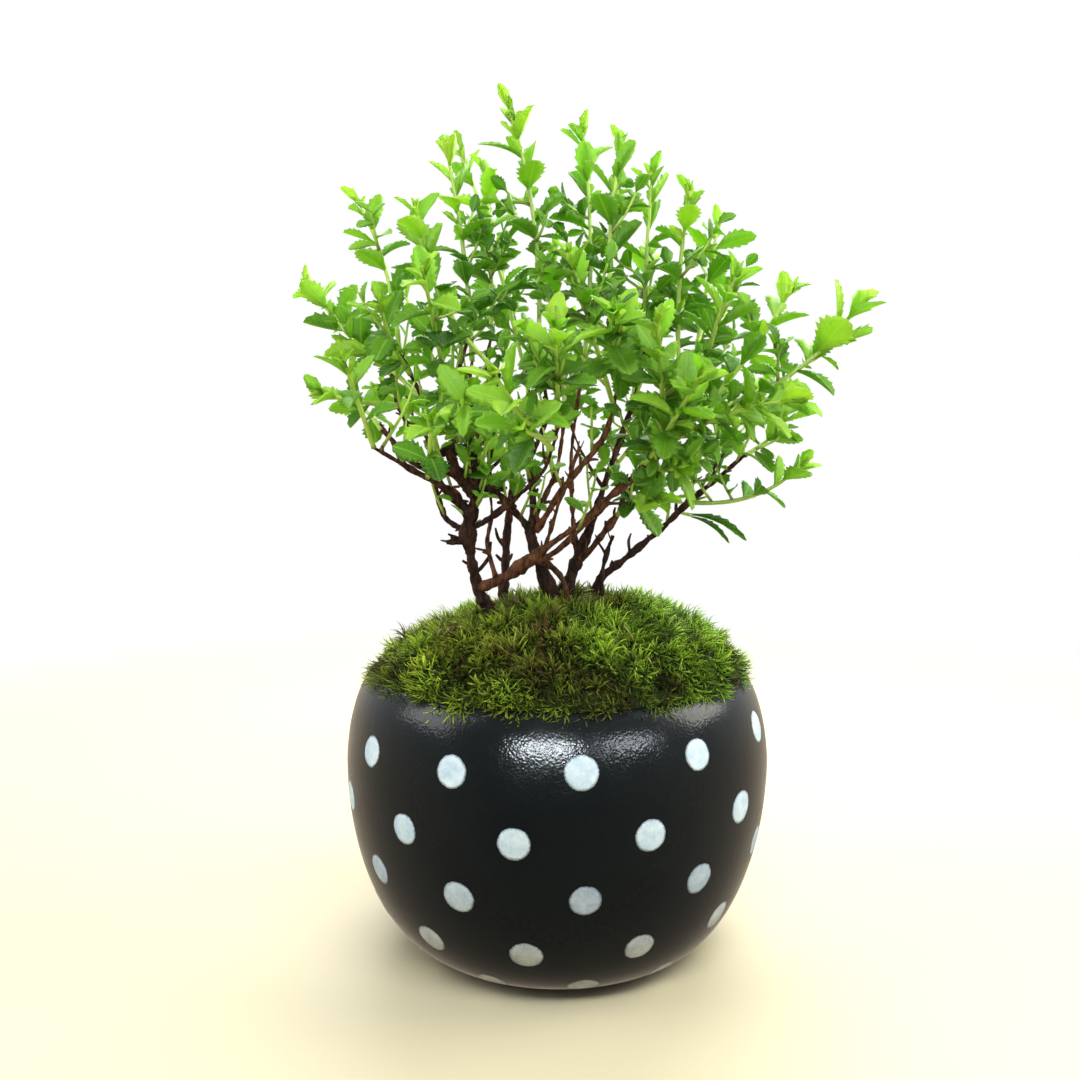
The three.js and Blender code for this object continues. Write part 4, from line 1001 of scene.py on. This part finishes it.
def spirea_green():
    """Leaf and green stem in one: pale where young, deeper with age, darker where tone holds the crown's
    painted shade, bright where light comes through.
    """
    finish, tree, shader = new_finish("spirea_green", Roughness=0.42, Specular_IOR_Level=0.35)
    age, tone, foliage = (kept(tree, label) for label in ("age", "tone", "foliage"))
    blade = node(tree, "ShaderNodeSeparateXYZ", None, {0: kept(tree, "blade", "Vector")})
    along, across = out(blade, "X"), calc(tree, "ABSOLUTE", out(blade, "Y"))
    young = mix(tree, tone, (0.40, 0.79, 0.040), (0.71, 0.92, 0.11))
    grown = mix(tree, tone, (0.034, 0.20, 0.016), (0.28, 0.62, 0.028))
    mottle = calc(tree, "MULTIPLY", cloud(tree, object_place(tree), 700, 4), 0.35)
    leaf = mix(tree, mottle, mix(tree, age, young, grown), (0.34, 0.66, 0.04))
    slant = calc(tree, "MULTIPLY_ADD", across, -0.30, along)
    wave = calc(tree, "PINGPONG", calc(tree, "MULTIPLY", slant, 8.0), 0.5)
    veins = calc(tree, "MULTIPLY", ranged(tree, wave, 0.0, 0.11, 1.0, 0.0), 0.45)
    ribs = calc(tree, "MAXIMUM", veins, ranged(tree, across, 0.03, 0.10, 1.0, 0.0))
    leaf = mix(tree, calc(tree, "MULTIPLY", ribs, 0.5), leaf, (0.52, 0.80, 0.16))
    green_stem = ranged(tree, kept(tree, "climb"), 0.0, 0.22)
    stem = mix(tree, green_stem, (0.20, 0.13, 0.04), (0.46, 0.66, 0.10))
    colour = mix(tree, foliage, stem, leaf)
    tree.links.new(colour, shader.inputs["Base Color"])
    emboss(tree, shader, calc(tree, "MULTIPLY", ribs, foliage), 0.5, 0.15, invert=True)
    glow = mix(tree, 1.0, colour, (1.0, 1.0, 0.45), "MULTIPLY")
    through = node(tree, "ShaderNodeBsdfTranslucent", None, {"Color": glow})
    two_shaders(tree, calc(tree, "MULTIPLY_ADD", foliage, 0.40, 0.12), shader, through)
    return finish


class ShootPoints:
    """The points of a shoot: its axis, and the places of its leaves with how each one is turned."""

    def __init__(self):
        self.places, self.edges = [], []
        self.values = {key: [] for key in ("thick", "climb", "is_leaf", "form", "age", "tone", "foliage")}
        self.turned, self.spread = [], []

    def add(self, place, turned=(0, 0, 0), spread=(1, 1, 1), **values):
        self.places.append(place)
        self.turned.append(turned)
        self.spread.append(spread)
        for key, row in self.values.items():
            row.append(values.get(key, 0))

    def stem(self, line, radii):
        first = len(self.places)
        for i, place in enumerate(line):
            share = i / (len(line) - 1)
            radius = radii[0] + (radii[1] - radii[0]) * share
            self.add(place, thick=radius * MM, climb=share)
        self.edges += [(i, i + 1) for i in range(first, len(self.places) - 1)]

    def leaf(self, foot, towards, upper, length, width, form, age, tone):
        across = upper.cross(towards).normalized()
        upper = towards.cross(across)
        basis = Matrix((towards, across, upper)).transposed()
        self.add(foot, turned=tuple(basis.to_euler()), spread=(length * MM, width * MM, length * MM),
                 is_leaf=1, form=form, age=age, tone=tone)

    def mesh(self, name):
        mesh = bpy.data.meshes.new(name)
        mesh.from_pydata(self.places, self.edges, [])
        for key, row in self.values.items():
            keep_rows(mesh, {"is_leaf": "BOOLEAN", "form": "INT"}.get(key, "FLOAT"), **{key: row})
        keep_rows(mesh, "FLOAT_VECTOR", turned=self.turned, spread=self.spread)
        return mesh


def painted_crown_light(place):
    """How much of a leaf's tone the crown's painted shade leaves: little near the heart of the crown, and
    all at its outside.
    """
    return min(1.0, max(0.1, ((place - HEART).length / MM - PAINTED_SHADE_WITHIN) / PAINTED_SHADE_FADE))


def side_twig(shoot, foot, way, reach, leaves, size, age, hand):
    """A thin side twig with a few smaller leaves of its own."""
    bend = foot + way * reach * 0.55 * MM + Vector((0, 0, 0.06 * reach)) * MM
    end = foot + (way + Vector((0, 0, 0.28))).normalized() * reach * MM
    shoot.stem([foot, bend, end], TWIG_RADIUS)
    side = way.orthogonal().normalized()
    start = hand.uniform(0, 6)
    for k in range(leaves):
        share = (k + 0.7) / (leaves - 0.3)
        place = foot.lerp(bend, share * 2) if share < 0.5 else bend.lerp(end, min(1.0, share * 2 - 1))
        outward = Matrix.Rotation(start + k * GOLDEN_ANGLE, 3, way) @ side
        pitch = 1.15 - 0.6 * share
        towards = way * math.cos(pitch) + outward * math.sin(pitch)
        upper = (way + Vector((0, 0, 0.6))).normalized()
        length = size * hand.uniform(0.75, 1.05) * (1 - 0.25 * share)
        form = hand.choice(TWIG_FORMS)
        # Painted shade: a random tone, cut near the heart of the crown.
        tone = hand.random() * painted_crown_light(place)
        shoot.leaf(place, towards, upper, length, length * hand.uniform(0.58, 0.76), form, age, tone)


def twigs_on(tip):
    """How many side twigs a shoot has, by the place of its tip: few at the left and low at the front."""
    x, z, depth = tip
    if z < 128 and depth < 0:
        return 0 if x < 0 else 4
    if abs(x - 2) < 29 or depth > 25:
        return 5
    if x > -30:
        return 2
    return 1 if z > 135 else 0


def tip_tuft(shoot, points, size, number, spear, hand):
    """The narrow young leaves at a shoot's tip, and on some a longer one that stands up like a spear."""
    end = points[-1]
    along = (end - points[-2]).normalized()
    side = along.orthogonal().normalized()
    if spear:
        below, length = spear
        end = end - along * below * MM
        shoot.leaf(end, along, Vector((0.8, -0.6, 0)), length, length * 0.2, YOUNG_FORM, 0.45, 0.6)
    for k in range(TUFT_LEAVES):
        outward = Matrix.Rotation(k * GOLDEN_ANGLE + number, 3, along) @ side
        towards = (along + outward * (0.10 + 0.20 * k)).normalized()
        length = size * (0.40 + 0.08 * k)
        shoot.leaf(end - along * 0.9 * k * MM, towards, -outward, length, length * (0.20 + 0.07 * k),
                   YOUNG_FORM, 0.08 * k, hand.random())


def dress_shoot(number, spear, limb, share, tip, bow, leaves, size, bare, hand):
    """All the points of one shoot: leaves, small leaves in their axils, side twigs, and a tip's tuft."""
    root, points = shoot_axis(limb, share, tip, bow)
    twigs = twigs_on(tip)
    shoot = ShootPoints()
    shoot.stem([root, *points], SHOOT_RADIUS)
    axil_counts = (0, 1, 1, 2) if twigs > 2 else (0, 0, 1)
    for foot, along, towards, upper, length, width, climb in leaf_places(
            points, leaves, size, bare, number):
        age = min(1.0, max(0.0, 1.05 - climb ** 1.3 + hand.uniform(-0.3, 0.15)))
        form = hand.choice(GROWN_FORMS) if climb < 0.85 else TIP_FORM
        # Painted shade: a random tone, cut near the heart of the crown.
        tone = hand.random() * painted_crown_light(foot)
        breadth = hand.uniform(1.15, 1.6) if form == 0 else hand.uniform(0.85, 1.4)
        shoot.leaf(foot, towards, upper, length, width * breadth, form, age, tone)
        for turn in hand.sample(AXIL_TURNS, hand.choice(axil_counts)):
            aside = Matrix.Rotation(turn, 3, along) @ towards
            aside = (aside + along * hand.uniform(0.2, 0.9)).normalized()
            small = length * hand.uniform(0.38, 0.62)
            face = Matrix.Rotation(turn, 3, along) @ upper
            shoot.leaf(foot, aside, face, small, small * 0.52, hand.choice(AXIL_FORMS), age * 0.6,
                       hand.random())
    for _ in range(twigs):
        foot, along = on_axis(points, hand.uniform(0.05, 0.66) * SHOOT_STEPS)
        inwards = TWIGS_LEAN_TO - foot
        turn = Vector((hand.uniform(-1, 1), hand.uniform(-1, 1), hand.uniform(-0.4, 0.4)))
        way = (along * 0.7 + turn.normalized() * 0.8 + inwards.normalized() * 0.25).normalized()
        side_twig(shoot, foot, way, hand.uniform(7, 13), hand.choice((4, 5, 6)), size * 0.72,
                  hand.uniform(0.6, 1.0), hand)
    tip_tuft(shoot, points, size, number, spear, hand)
    return shoot.mesh("shoot")


leaf_collection = leaf_forms()
green = spirea_green()
shoot_group = shoot_tree()
season = random.Random(23)
for number, (name, (on, *habit)) in enumerate(SHOOTS.items()):
    stem_name, limb_name = on.split(".")
    mesh = dress_shoot(number, SPEARS.get(name), STEMS[stem_name][limb_name], *habit, season)
    shoot = grow("leaves_" + name, mesh, shoot_group, Leaves=leaf_collection, Sides=7, Step=0.8 * MM,
                 Material=green)
    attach(shoot, "root")
    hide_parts("shoot_" + name)


# Low under the crown, thin green sprouts with a few small leaves break straight out of the old wood. They
# are of the season's growth, as the shoots are, and two narrow leaves hang out low on the right.
SPROUTS_FROM, SPROUTS_TO = 84, 124
HANGING = ((-0.28, 10), (-0.1, 13))  # how steeply each leaf points up, and its length


def low_sprouts(hand):
    shoot = ShootPoints()
    for limbs in STEMS.values():
        for limb in limbs.values():
            for k in range(len(limb) - 1):
                height = limb[k][1]
                likely = 0.3 + (height - SPROUTS_FROM) / 100
                if not SPROUTS_FROM < height < SPROUTS_TO or hand.random() > likely:
                    continue
                foot, _ = along_limb(limb, (k + hand.random()) / (len(limb) - 1))
                way = Vector((hand.uniform(-0.5, 0.5), hand.uniform(-0.8, 0.3), hand.uniform(0.5, 1.2)))
                side_twig(shoot, foot, way.normalized(), hand.uniform(6, 16), hand.choice((2, 3, 4)),
                          hand.uniform(4.5, 7.5), hand.uniform(0.2, 0.8), hand)
    foot, _ = along_limb(STEMS["right"]["trunk"], 0.66)
    for rise, length in HANGING:
        towards = Vector((1, -0.3, rise)).normalized()
        shoot.stem([foot, foot + towards * 3.5 * MM], (0.3, 0.2))
        shoot.leaf(foot + towards * 3.2 * MM, towards, Vector((0, -0.4, 1)), length, 1.5, 3, 1.0, 0.1)
    return shoot.mesh("low_sprouts")


sprouts = grow("low_sprouts", low_sprouts(random.Random(31)), shoot_group, Leaves=leaf_collection, Sides=6,
               Step=0.9 * MM, Material=green)
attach(sprouts, "root")


# Living moss is laid over the soil as one mound and hangs a little over the rim. It is a dense carpet of
# upright sprigs, each a brush of fine curved needles, in clumps from bright to olive green, with hollows
# between them painted dark as shade, and dead brown sprigs here and there.
MOUND = {"overhang": 40.6, "edge": 59.7, "crown": 72.4, "crest": (5.0, 3.0), "tilt": 0.012}
MOUND_CURVE = 0.9
HUMMOCK_HEIGHT, HUMMOCK_MIDDLE = 3.8, 0.6
SOIL_MOUND = {"edge": 36.4, "low": 57.6, "high": 68.0}
SOIL_CURVE = 0.6
RIM_INSET, RIM_DROP = 0.3, 0.9
MOUND_AROUND, MOUND_RINGS, UNDER_RINGS = 144, 44, 12
SPRIG_NEEDLES = 8
SPRIG_FORMS = 4
UP = Vector((0, 0, 1))
LAYERS = [("moss_low", 1.85, 3.4, 1.6, 3), ("moss_carpet", 1.75, 4.2, 2.6, 4),
          ("moss_crests", 1.80, 4.8, 3.4, 5)]  # name, spacing, height, lean and seed


def hummock(x, y):
    """How far a place of the bed lies above (1) or below (0) its surroundings."""
    place = Vector((x, y, 0))
    level = noise.noise(place / 5.5) * 1.0 + noise.noise(place / 2.6 + Vector((9, 4, 2))) * 0.55
    return min(1.0, max(0.0, 0.55 + level))


def mound_top(x, y):
    """Height of the moss bed in millimetres, with its clumps."""
    share = min(1.0, math.hypot(x, y) / MOUND["overhang"])
    pull = 1 - share ** 2
    off = math.hypot(x - MOUND["crest"][0] * pull, y - MOUND["crest"][1] * pull) / MOUND["overhang"]
    dome = max(0.0, 1 - min(off, 1.0) ** 2) ** MOUND_CURVE
    height = MOUND["edge"] + (MOUND["crown"] - MOUND["edge"]) * dome
    clumps = (hummock(x, y) - HUMMOCK_MIDDLE) * HUMMOCK_HEIGHT * min(1.0, (1 - share) * 6 + 0.25)
    return height + MOUND["tilt"] * x + clumps


def mound_under(x, y):
    """Height of the bed's underside, a hair above the soil."""
    share = min(1.0, math.hypot(x, y) / SOIL_MOUND["edge"])
    rise = (SOIL_MOUND["high"] - SOIL_MOUND["low"]) * (1 - share ** 2) ** SOIL_CURVE
    return SOIL_MOUND["low"] + rise + SHOOT_GAP


def moss_bed():
    points, faces, top = [], [], []

    def ring(radius, height_at):
        for j in range(MOUND_AROUND):
            angle = j * 2 * math.pi / MOUND_AROUND
            x, y = radius * math.cos(angle), radius * math.sin(angle)
            points.append(Vector((x, y, height_at(x, y))) * MM)

    points.append(Vector((0, 0, mound_top(0, 0))) * MM)
    for i in range(1, MOUND_RINGS + 1):
        ring(MOUND["overhang"] * math.sin(i / MOUND_RINGS * math.pi / 2), mound_top)
    ring(MOUND["overhang"] - RIM_INSET, lambda x, y: mound_top(x, y) - RIM_DROP)
    ring(SOIL_MOUND["edge"], lambda x, y: SOIL_MOUND["low"] + SHOOT_GAP)
    for i in range(1, UNDER_RINGS):
        ring(SOIL_MOUND["edge"] * (1 - i / UNDER_RINGS), mound_under)
    points.append(Vector((0, 0, mound_under(0, 0))) * MM)
    last = len(points) - 1
    inmost = last - MOUND_AROUND
    for j in range(MOUND_AROUND):
        k = (j + 1) % MOUND_AROUND
        faces.append((0, 1 + j, 1 + k))
        top.append(True)
        for i, a in enumerate(range(1, inmost, MOUND_AROUND)):
            b = a + MOUND_AROUND
            faces.append((a + j, b + j, b + k, a + k))
            top.append(i < MOUND_RINGS)
        faces.append((inmost + j, last, inmost + k))
        top.append(False)
    mesh = bpy.data.meshes.new("moss_bed")
    mesh.from_pydata(points, [], faces)
    mesh.attributes.new("top", "BOOLEAN", "FACE").data.foreach_set("value", top)
    keep_rows(mesh, "FLOAT", crest=[hummock(point.x / MM, point.y / MM) for point in points])
    mesh.shade_smooth()
    return mesh


def moss_sprig(name, seed):
    """A sprig one unit tall: needles round a short axis, lower ones wide and upper ones steep, all bent
    a little towards X."""
    hand = random.Random(seed)
    points, faces, along = [], [], []
    bend = Vector((1, 0, 0))
    for k in range(SPRIG_NEEDLES):
        share = k / (SPRIG_NEEDLES - 1)
        turn = k * GOLDEN_ANGLE + hand.uniform(-0.4, 0.4)
        outward = Vector((math.cos(turn), math.sin(turn), 0))
        lean = 1.1 - 0.75 * share + hand.uniform(-0.15, 0.15)
        reach = 0.78 - 0.10 * share + hand.uniform(-0.10, 0.12)
        foot = UP * (0.02 + 0.34 * share)
        way = (outward * math.sin(lean) + UP * math.cos(lean)).normalized()
        bent = (way * 0.85 + bend * hand.uniform(0.1, 0.55) + UP * hand.uniform(-0.1, 0.25)).normalized()
        tail = (bent * 0.9 + bend * 0.3 - UP * hand.uniform(0.0, 0.3)).normalized()
        middle = foot + way * reach * 0.38
        far = middle + bent * reach * 0.34
        tip = far + tail * reach * 0.34
        across = way.cross(bend)
        across = across.normalized() if across.length > 0.1 else Vector((0, 1, 0))
        first = len(points)
        for centre, half, heading, level in (
                (foot, 0.024, way, 0.0), (middle, 0.036, way, 0.45), (far, 0.025, bent, 0.75)):
            points += [centre + across * half, centre - across * half]
            points.append(centre - heading.cross(across) * half * 0.7)
            along += [level] * 3
        points.append(tip)
        along.append(1.0)
        faces.append((first, first + 1, first + 2))
        for i in range(3):
            j = (i + 1) % 3
            for low in (first, first + 3):
                faces.append((low + j, low + i, low + 3 + i, low + 3 + j))
            faces.append((first + 6 + j, first + 6 + i, first + 9))
    mesh = bpy.data.meshes.new(name)
    mesh.from_pydata(points, [], faces)
    keep_rows(mesh, "FLOAT", along=along)
    return bpy.data.objects.new(name, mesh)


def sprig_tree():
    """Sets sprigs close together on the bed. Neighbours sway the same way, outwards over the rim at the
    edge, and are taller on the hummocks than in the hollows."""
    group, given = modifier_tree(
        "moss_sprigs", ("Sprigs", "Collection", None), ("Spacing", "Float", 0.0012),
        ("Height", "Float", 0.004), ("Lean", "Float", 0.8), ("Seed", "Int", 1),
        ("Material", "Material", None))

    def at_random(kind, **limits):
        return out(node(group, "FunctionNodeRandomValue", {"data_type": kind}, {
            **limits, "Seed": given["Seed"]}))

    def turn(axis, way, **more):
        return out(node(group, "FunctionNodeAlignRotationToVector", {"axis": axis, **more}, way))

    points = node(group, "GeometryNodeDistributePointsOnFaces", {"distribute_method": "POISSON"}, {
        "Mesh": given["Geometry"], "Selection": read(group, "top", "BOOLEAN"),
        "Distance Min": given["Spacing"], "Density Max": 1.5e6, "Seed": given["Seed"]})
    place = position(group)
    sway = vector(group, "SUBTRACT", cloud(group, place, 125.0, 1.5, part="Color"), (0.5, 0.5, 0.46))
    sway = vector(group, "SCALE", sway, scale=given["Lean"])
    loose = at_random("FLOAT_VECTOR", Min=(-0.3, -0.3, -0.1), Max=(0.3, 0.3, 0.3))
    flat = vector(group, "MULTIPLY", place, (1, 1, 0))
    outwards, radius = vector(group, "NORMALIZE", flat), vector(group, "LENGTH", flat)
    over = vector(group, "ADD", outwards, (0, 0, -1.9))
    over = vector(group, "SCALE", over, scale=ranged(group, radius, 0.0340, 0.0400))
    way = vector(group, "ADD", vector(group, "ADD", out(points, "Normal"), sway),
                 vector(group, "ADD", loose, over))
    sweep = vector(group, "ADD", vector(group, "SCALE", sway, scale=1.6),
                   vector(group, "SCALE", outwards, scale=0.9))
    sweep = vector(group, "ADD", sweep, vector(group, "SCALE", loose, scale=1.2))
    turned = turn("X", {"Rotation": turn("Z", {"Vector": way}), "Vector": sweep}, pivot_axis="Z")
    tone = at_random("FLOAT")
    tall = calc(group, "MULTIPLY", ranged(group, read(group, "crest"), 0.2, 0.9, 0.80, 1.12),
                ranged(group, tone, 0.0, 1.0, 0.78, 1.15))
    tall = calc(group, "MULTIPLY", tall, given["Height"])
    tall = calc(group, "MULTIPLY", tall, ranged(group, radius, 0.0300, 0.0380, 1.0, 0.84))
    sprigs = instances(group, out(points, "Points"), given["Sprigs"],
                       at_random("INT", Min=0, Max=SPRIG_FORMS - 1), turned, tall)
    sprigs = keep(group, sprigs, "tone", tone, "INSTANCE")
    sprigs = keep(group, sprigs, "patch", cloud(group, position(group), 95.0), "INSTANCE")
    return finish_tree(group, sprigs, given["Material"])


def moss_green():
    """Olive to fresh green, fresher to the right, with painted shade in the hollows, dark at the foot of
    each needle, dull in the middle, where duller moss lies under a painted shadow of the crown, and dull
    where a sprig is dead."""
    finish, tree, shader = new_finish("moss_green", Roughness=0.6, Specular_IOR_Level=0.12)

    def both_of(a, b):
        return calc(tree, "MULTIPLY", a, b)

    sideways = out(node(tree, "ShaderNodeSeparateXYZ", None, {0: object_place(tree)}), "X")
    tone, clump, crest = (kept(tree, label) for label in ("tone", "patch", "crest"))
    patch = ranged(tree, clump, 0.36, 0.64)
    olive = mix(tree, tone, (0.17, 0.25, 0.010), (0.60, 0.72, 0.050))
    fresh = mix(tree, tone, (0.14, 0.36, 0.010), (0.50, 0.88, 0.060))
    shaded = mix(tree, tone, (0.012, 0.022, 0.003), (0.060, 0.090, 0.010))
    dull_moss_and_crown_shadow = mix(tree, tone, (0.030, 0.034, 0.006), (0.20, 0.20, 0.025))
    to_right = ranged(tree, sideways, -0.01, 0.033)
    freshness = calc(tree, "MULTIPLY_ADD", to_right, 0.55, both_of(patch, 0.5), clamp=True)
    # Painted shade: sprigs low in the bed's hollows take the shaded colour.
    body = mix(tree, ranged(tree, crest, 0.40, 0.78), shaded, mix(tree, freshness, olive, fresh))
    # Painted shadow of the crown: the middle of the moss is laid darker and duller, partly as duller moss.
    near_middle = ranged(tree, calc(tree, "ABSOLUTE", sideways), 0.024, 0.008)
    middle = both_of(near_middle, ranged(tree, clump, 0.66, 0.42))
    body = mix(tree, both_of(middle, 0.75), body, dull_moss_and_crown_shadow)
    dead = both_of(ranged(tree, tone, 0.90, 0.91), ranged(tree, patch, 0.55, 0.35))
    body = mix(tree, dead, body, (0.17, 0.085, 0.028))
    colour = mix(tree, ranged(tree, kept(tree, "along"), 0.05, 0.8), (0.014, 0.021, 0.003), body)
    tree.links.new(colour, shader.inputs["Base Color"])
    through = node(tree, "ShaderNodeBsdfTranslucent", None, {"Color": colour})
    two_shaders(tree, 0.2, shader, through)
    return finish


def damp_litter():
    finish, tree, shader = new_finish("damp_litter", Roughness=0.9, Specular_IOR_Level=0.05)
    crumbs = cloud(tree, object_place(tree), 600, 5)
    colour = mix(tree, crumbs, (0.008, 0.011, 0.003), (0.030, 0.042, 0.010))
    tree.links.new(colour, shader.inputs["Base Color"])
    emboss(tree, shader, crumbs, 0.8, 0.6)
    return finish


bed = new_piece("moss_bed", moss_bed())
bed.data.materials.append(damp_litter())
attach(bed, "root")
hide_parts("moss")
sprig_forms = bpy.data.collections.new("sprig_forms")
for form in range(SPRIG_FORMS):
    sprig_forms.objects.link(moss_sprig(f"sprig_{form}", 40 + form))
sprig_group = sprig_tree()
moss_finish = moss_green()
for name, spacing, height, lean, seed in LAYERS:
    sprigs = grow(name, bed.data.copy(), sprig_group, Sprigs=sprig_forms, Spacing=spacing * MM,
                  Height=height * MM, Lean=lean, Seed=seed, Material=moss_finish)
    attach(sprigs, "root")


# A few bits of dry straw and old leaf stalks have caught on top of the moss. They are thin round rods that
# lie across the sprigs and bend a little on the way.
STRAWS = 26
STRAW_RADIUS = 0.12
STRAW_LIFT = 2.3
STRAW_POINTS = 4
STRAWS_WITHIN = 36
STRAWS_END = 40
STRAW_SIDES = 5
STRAW_STEP = 0.7


def straw_bits(hand):
    chains = []
    for _ in range(STRAWS):
        angle, radius = hand.uniform(0, 2 * math.pi), STRAWS_WITHIN * math.sqrt(hand.random())
        x, y = radius * math.sin(angle), -radius * math.cos(angle)
        turn, reach = hand.uniform(0, math.pi), hand.uniform(1.5, 6)
        line = []
        for i in range(STRAW_POINTS):
            px = x + math.cos(turn) * reach * i / 3
            py = y + math.sin(turn) * reach * i / 3
            if math.hypot(px, py) > STRAWS_END:
                break
            height = mound_top(px, py) + STRAW_LIFT + 0.3 * math.sin(i * 1.7)
            line.append((Vector((px, py, height)) * MM, STRAW_RADIUS))
            turn += hand.uniform(-0.3, 0.3)
        if len(line) > 1:
            chains.append(line)
    return chain_mesh("straws", chains)


def dry_straw():
    finish, tree, shader = new_finish("dry_straw", Roughness=0.7)
    colour = mix(tree, cloud(tree, object_place(tree), 200, 4), (0.20, 0.11, 0.05), (0.62, 0.50, 0.30))
    tree.links.new(colour, shader.inputs["Base Color"])
    return finish


def straw_tree():
    group, given = modifier_tree("straw_bits", ("Material", "Material", None))
    rods = round_rods(group, given["Geometry"], STRAW_SIDES, STRAW_STEP * MM)
    return finish_tree(group, rods, given["Material"])


straws = grow("moss_straws", straw_bits(random.Random(8)), straw_tree(), Material=dry_straw())
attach(straws, "root")
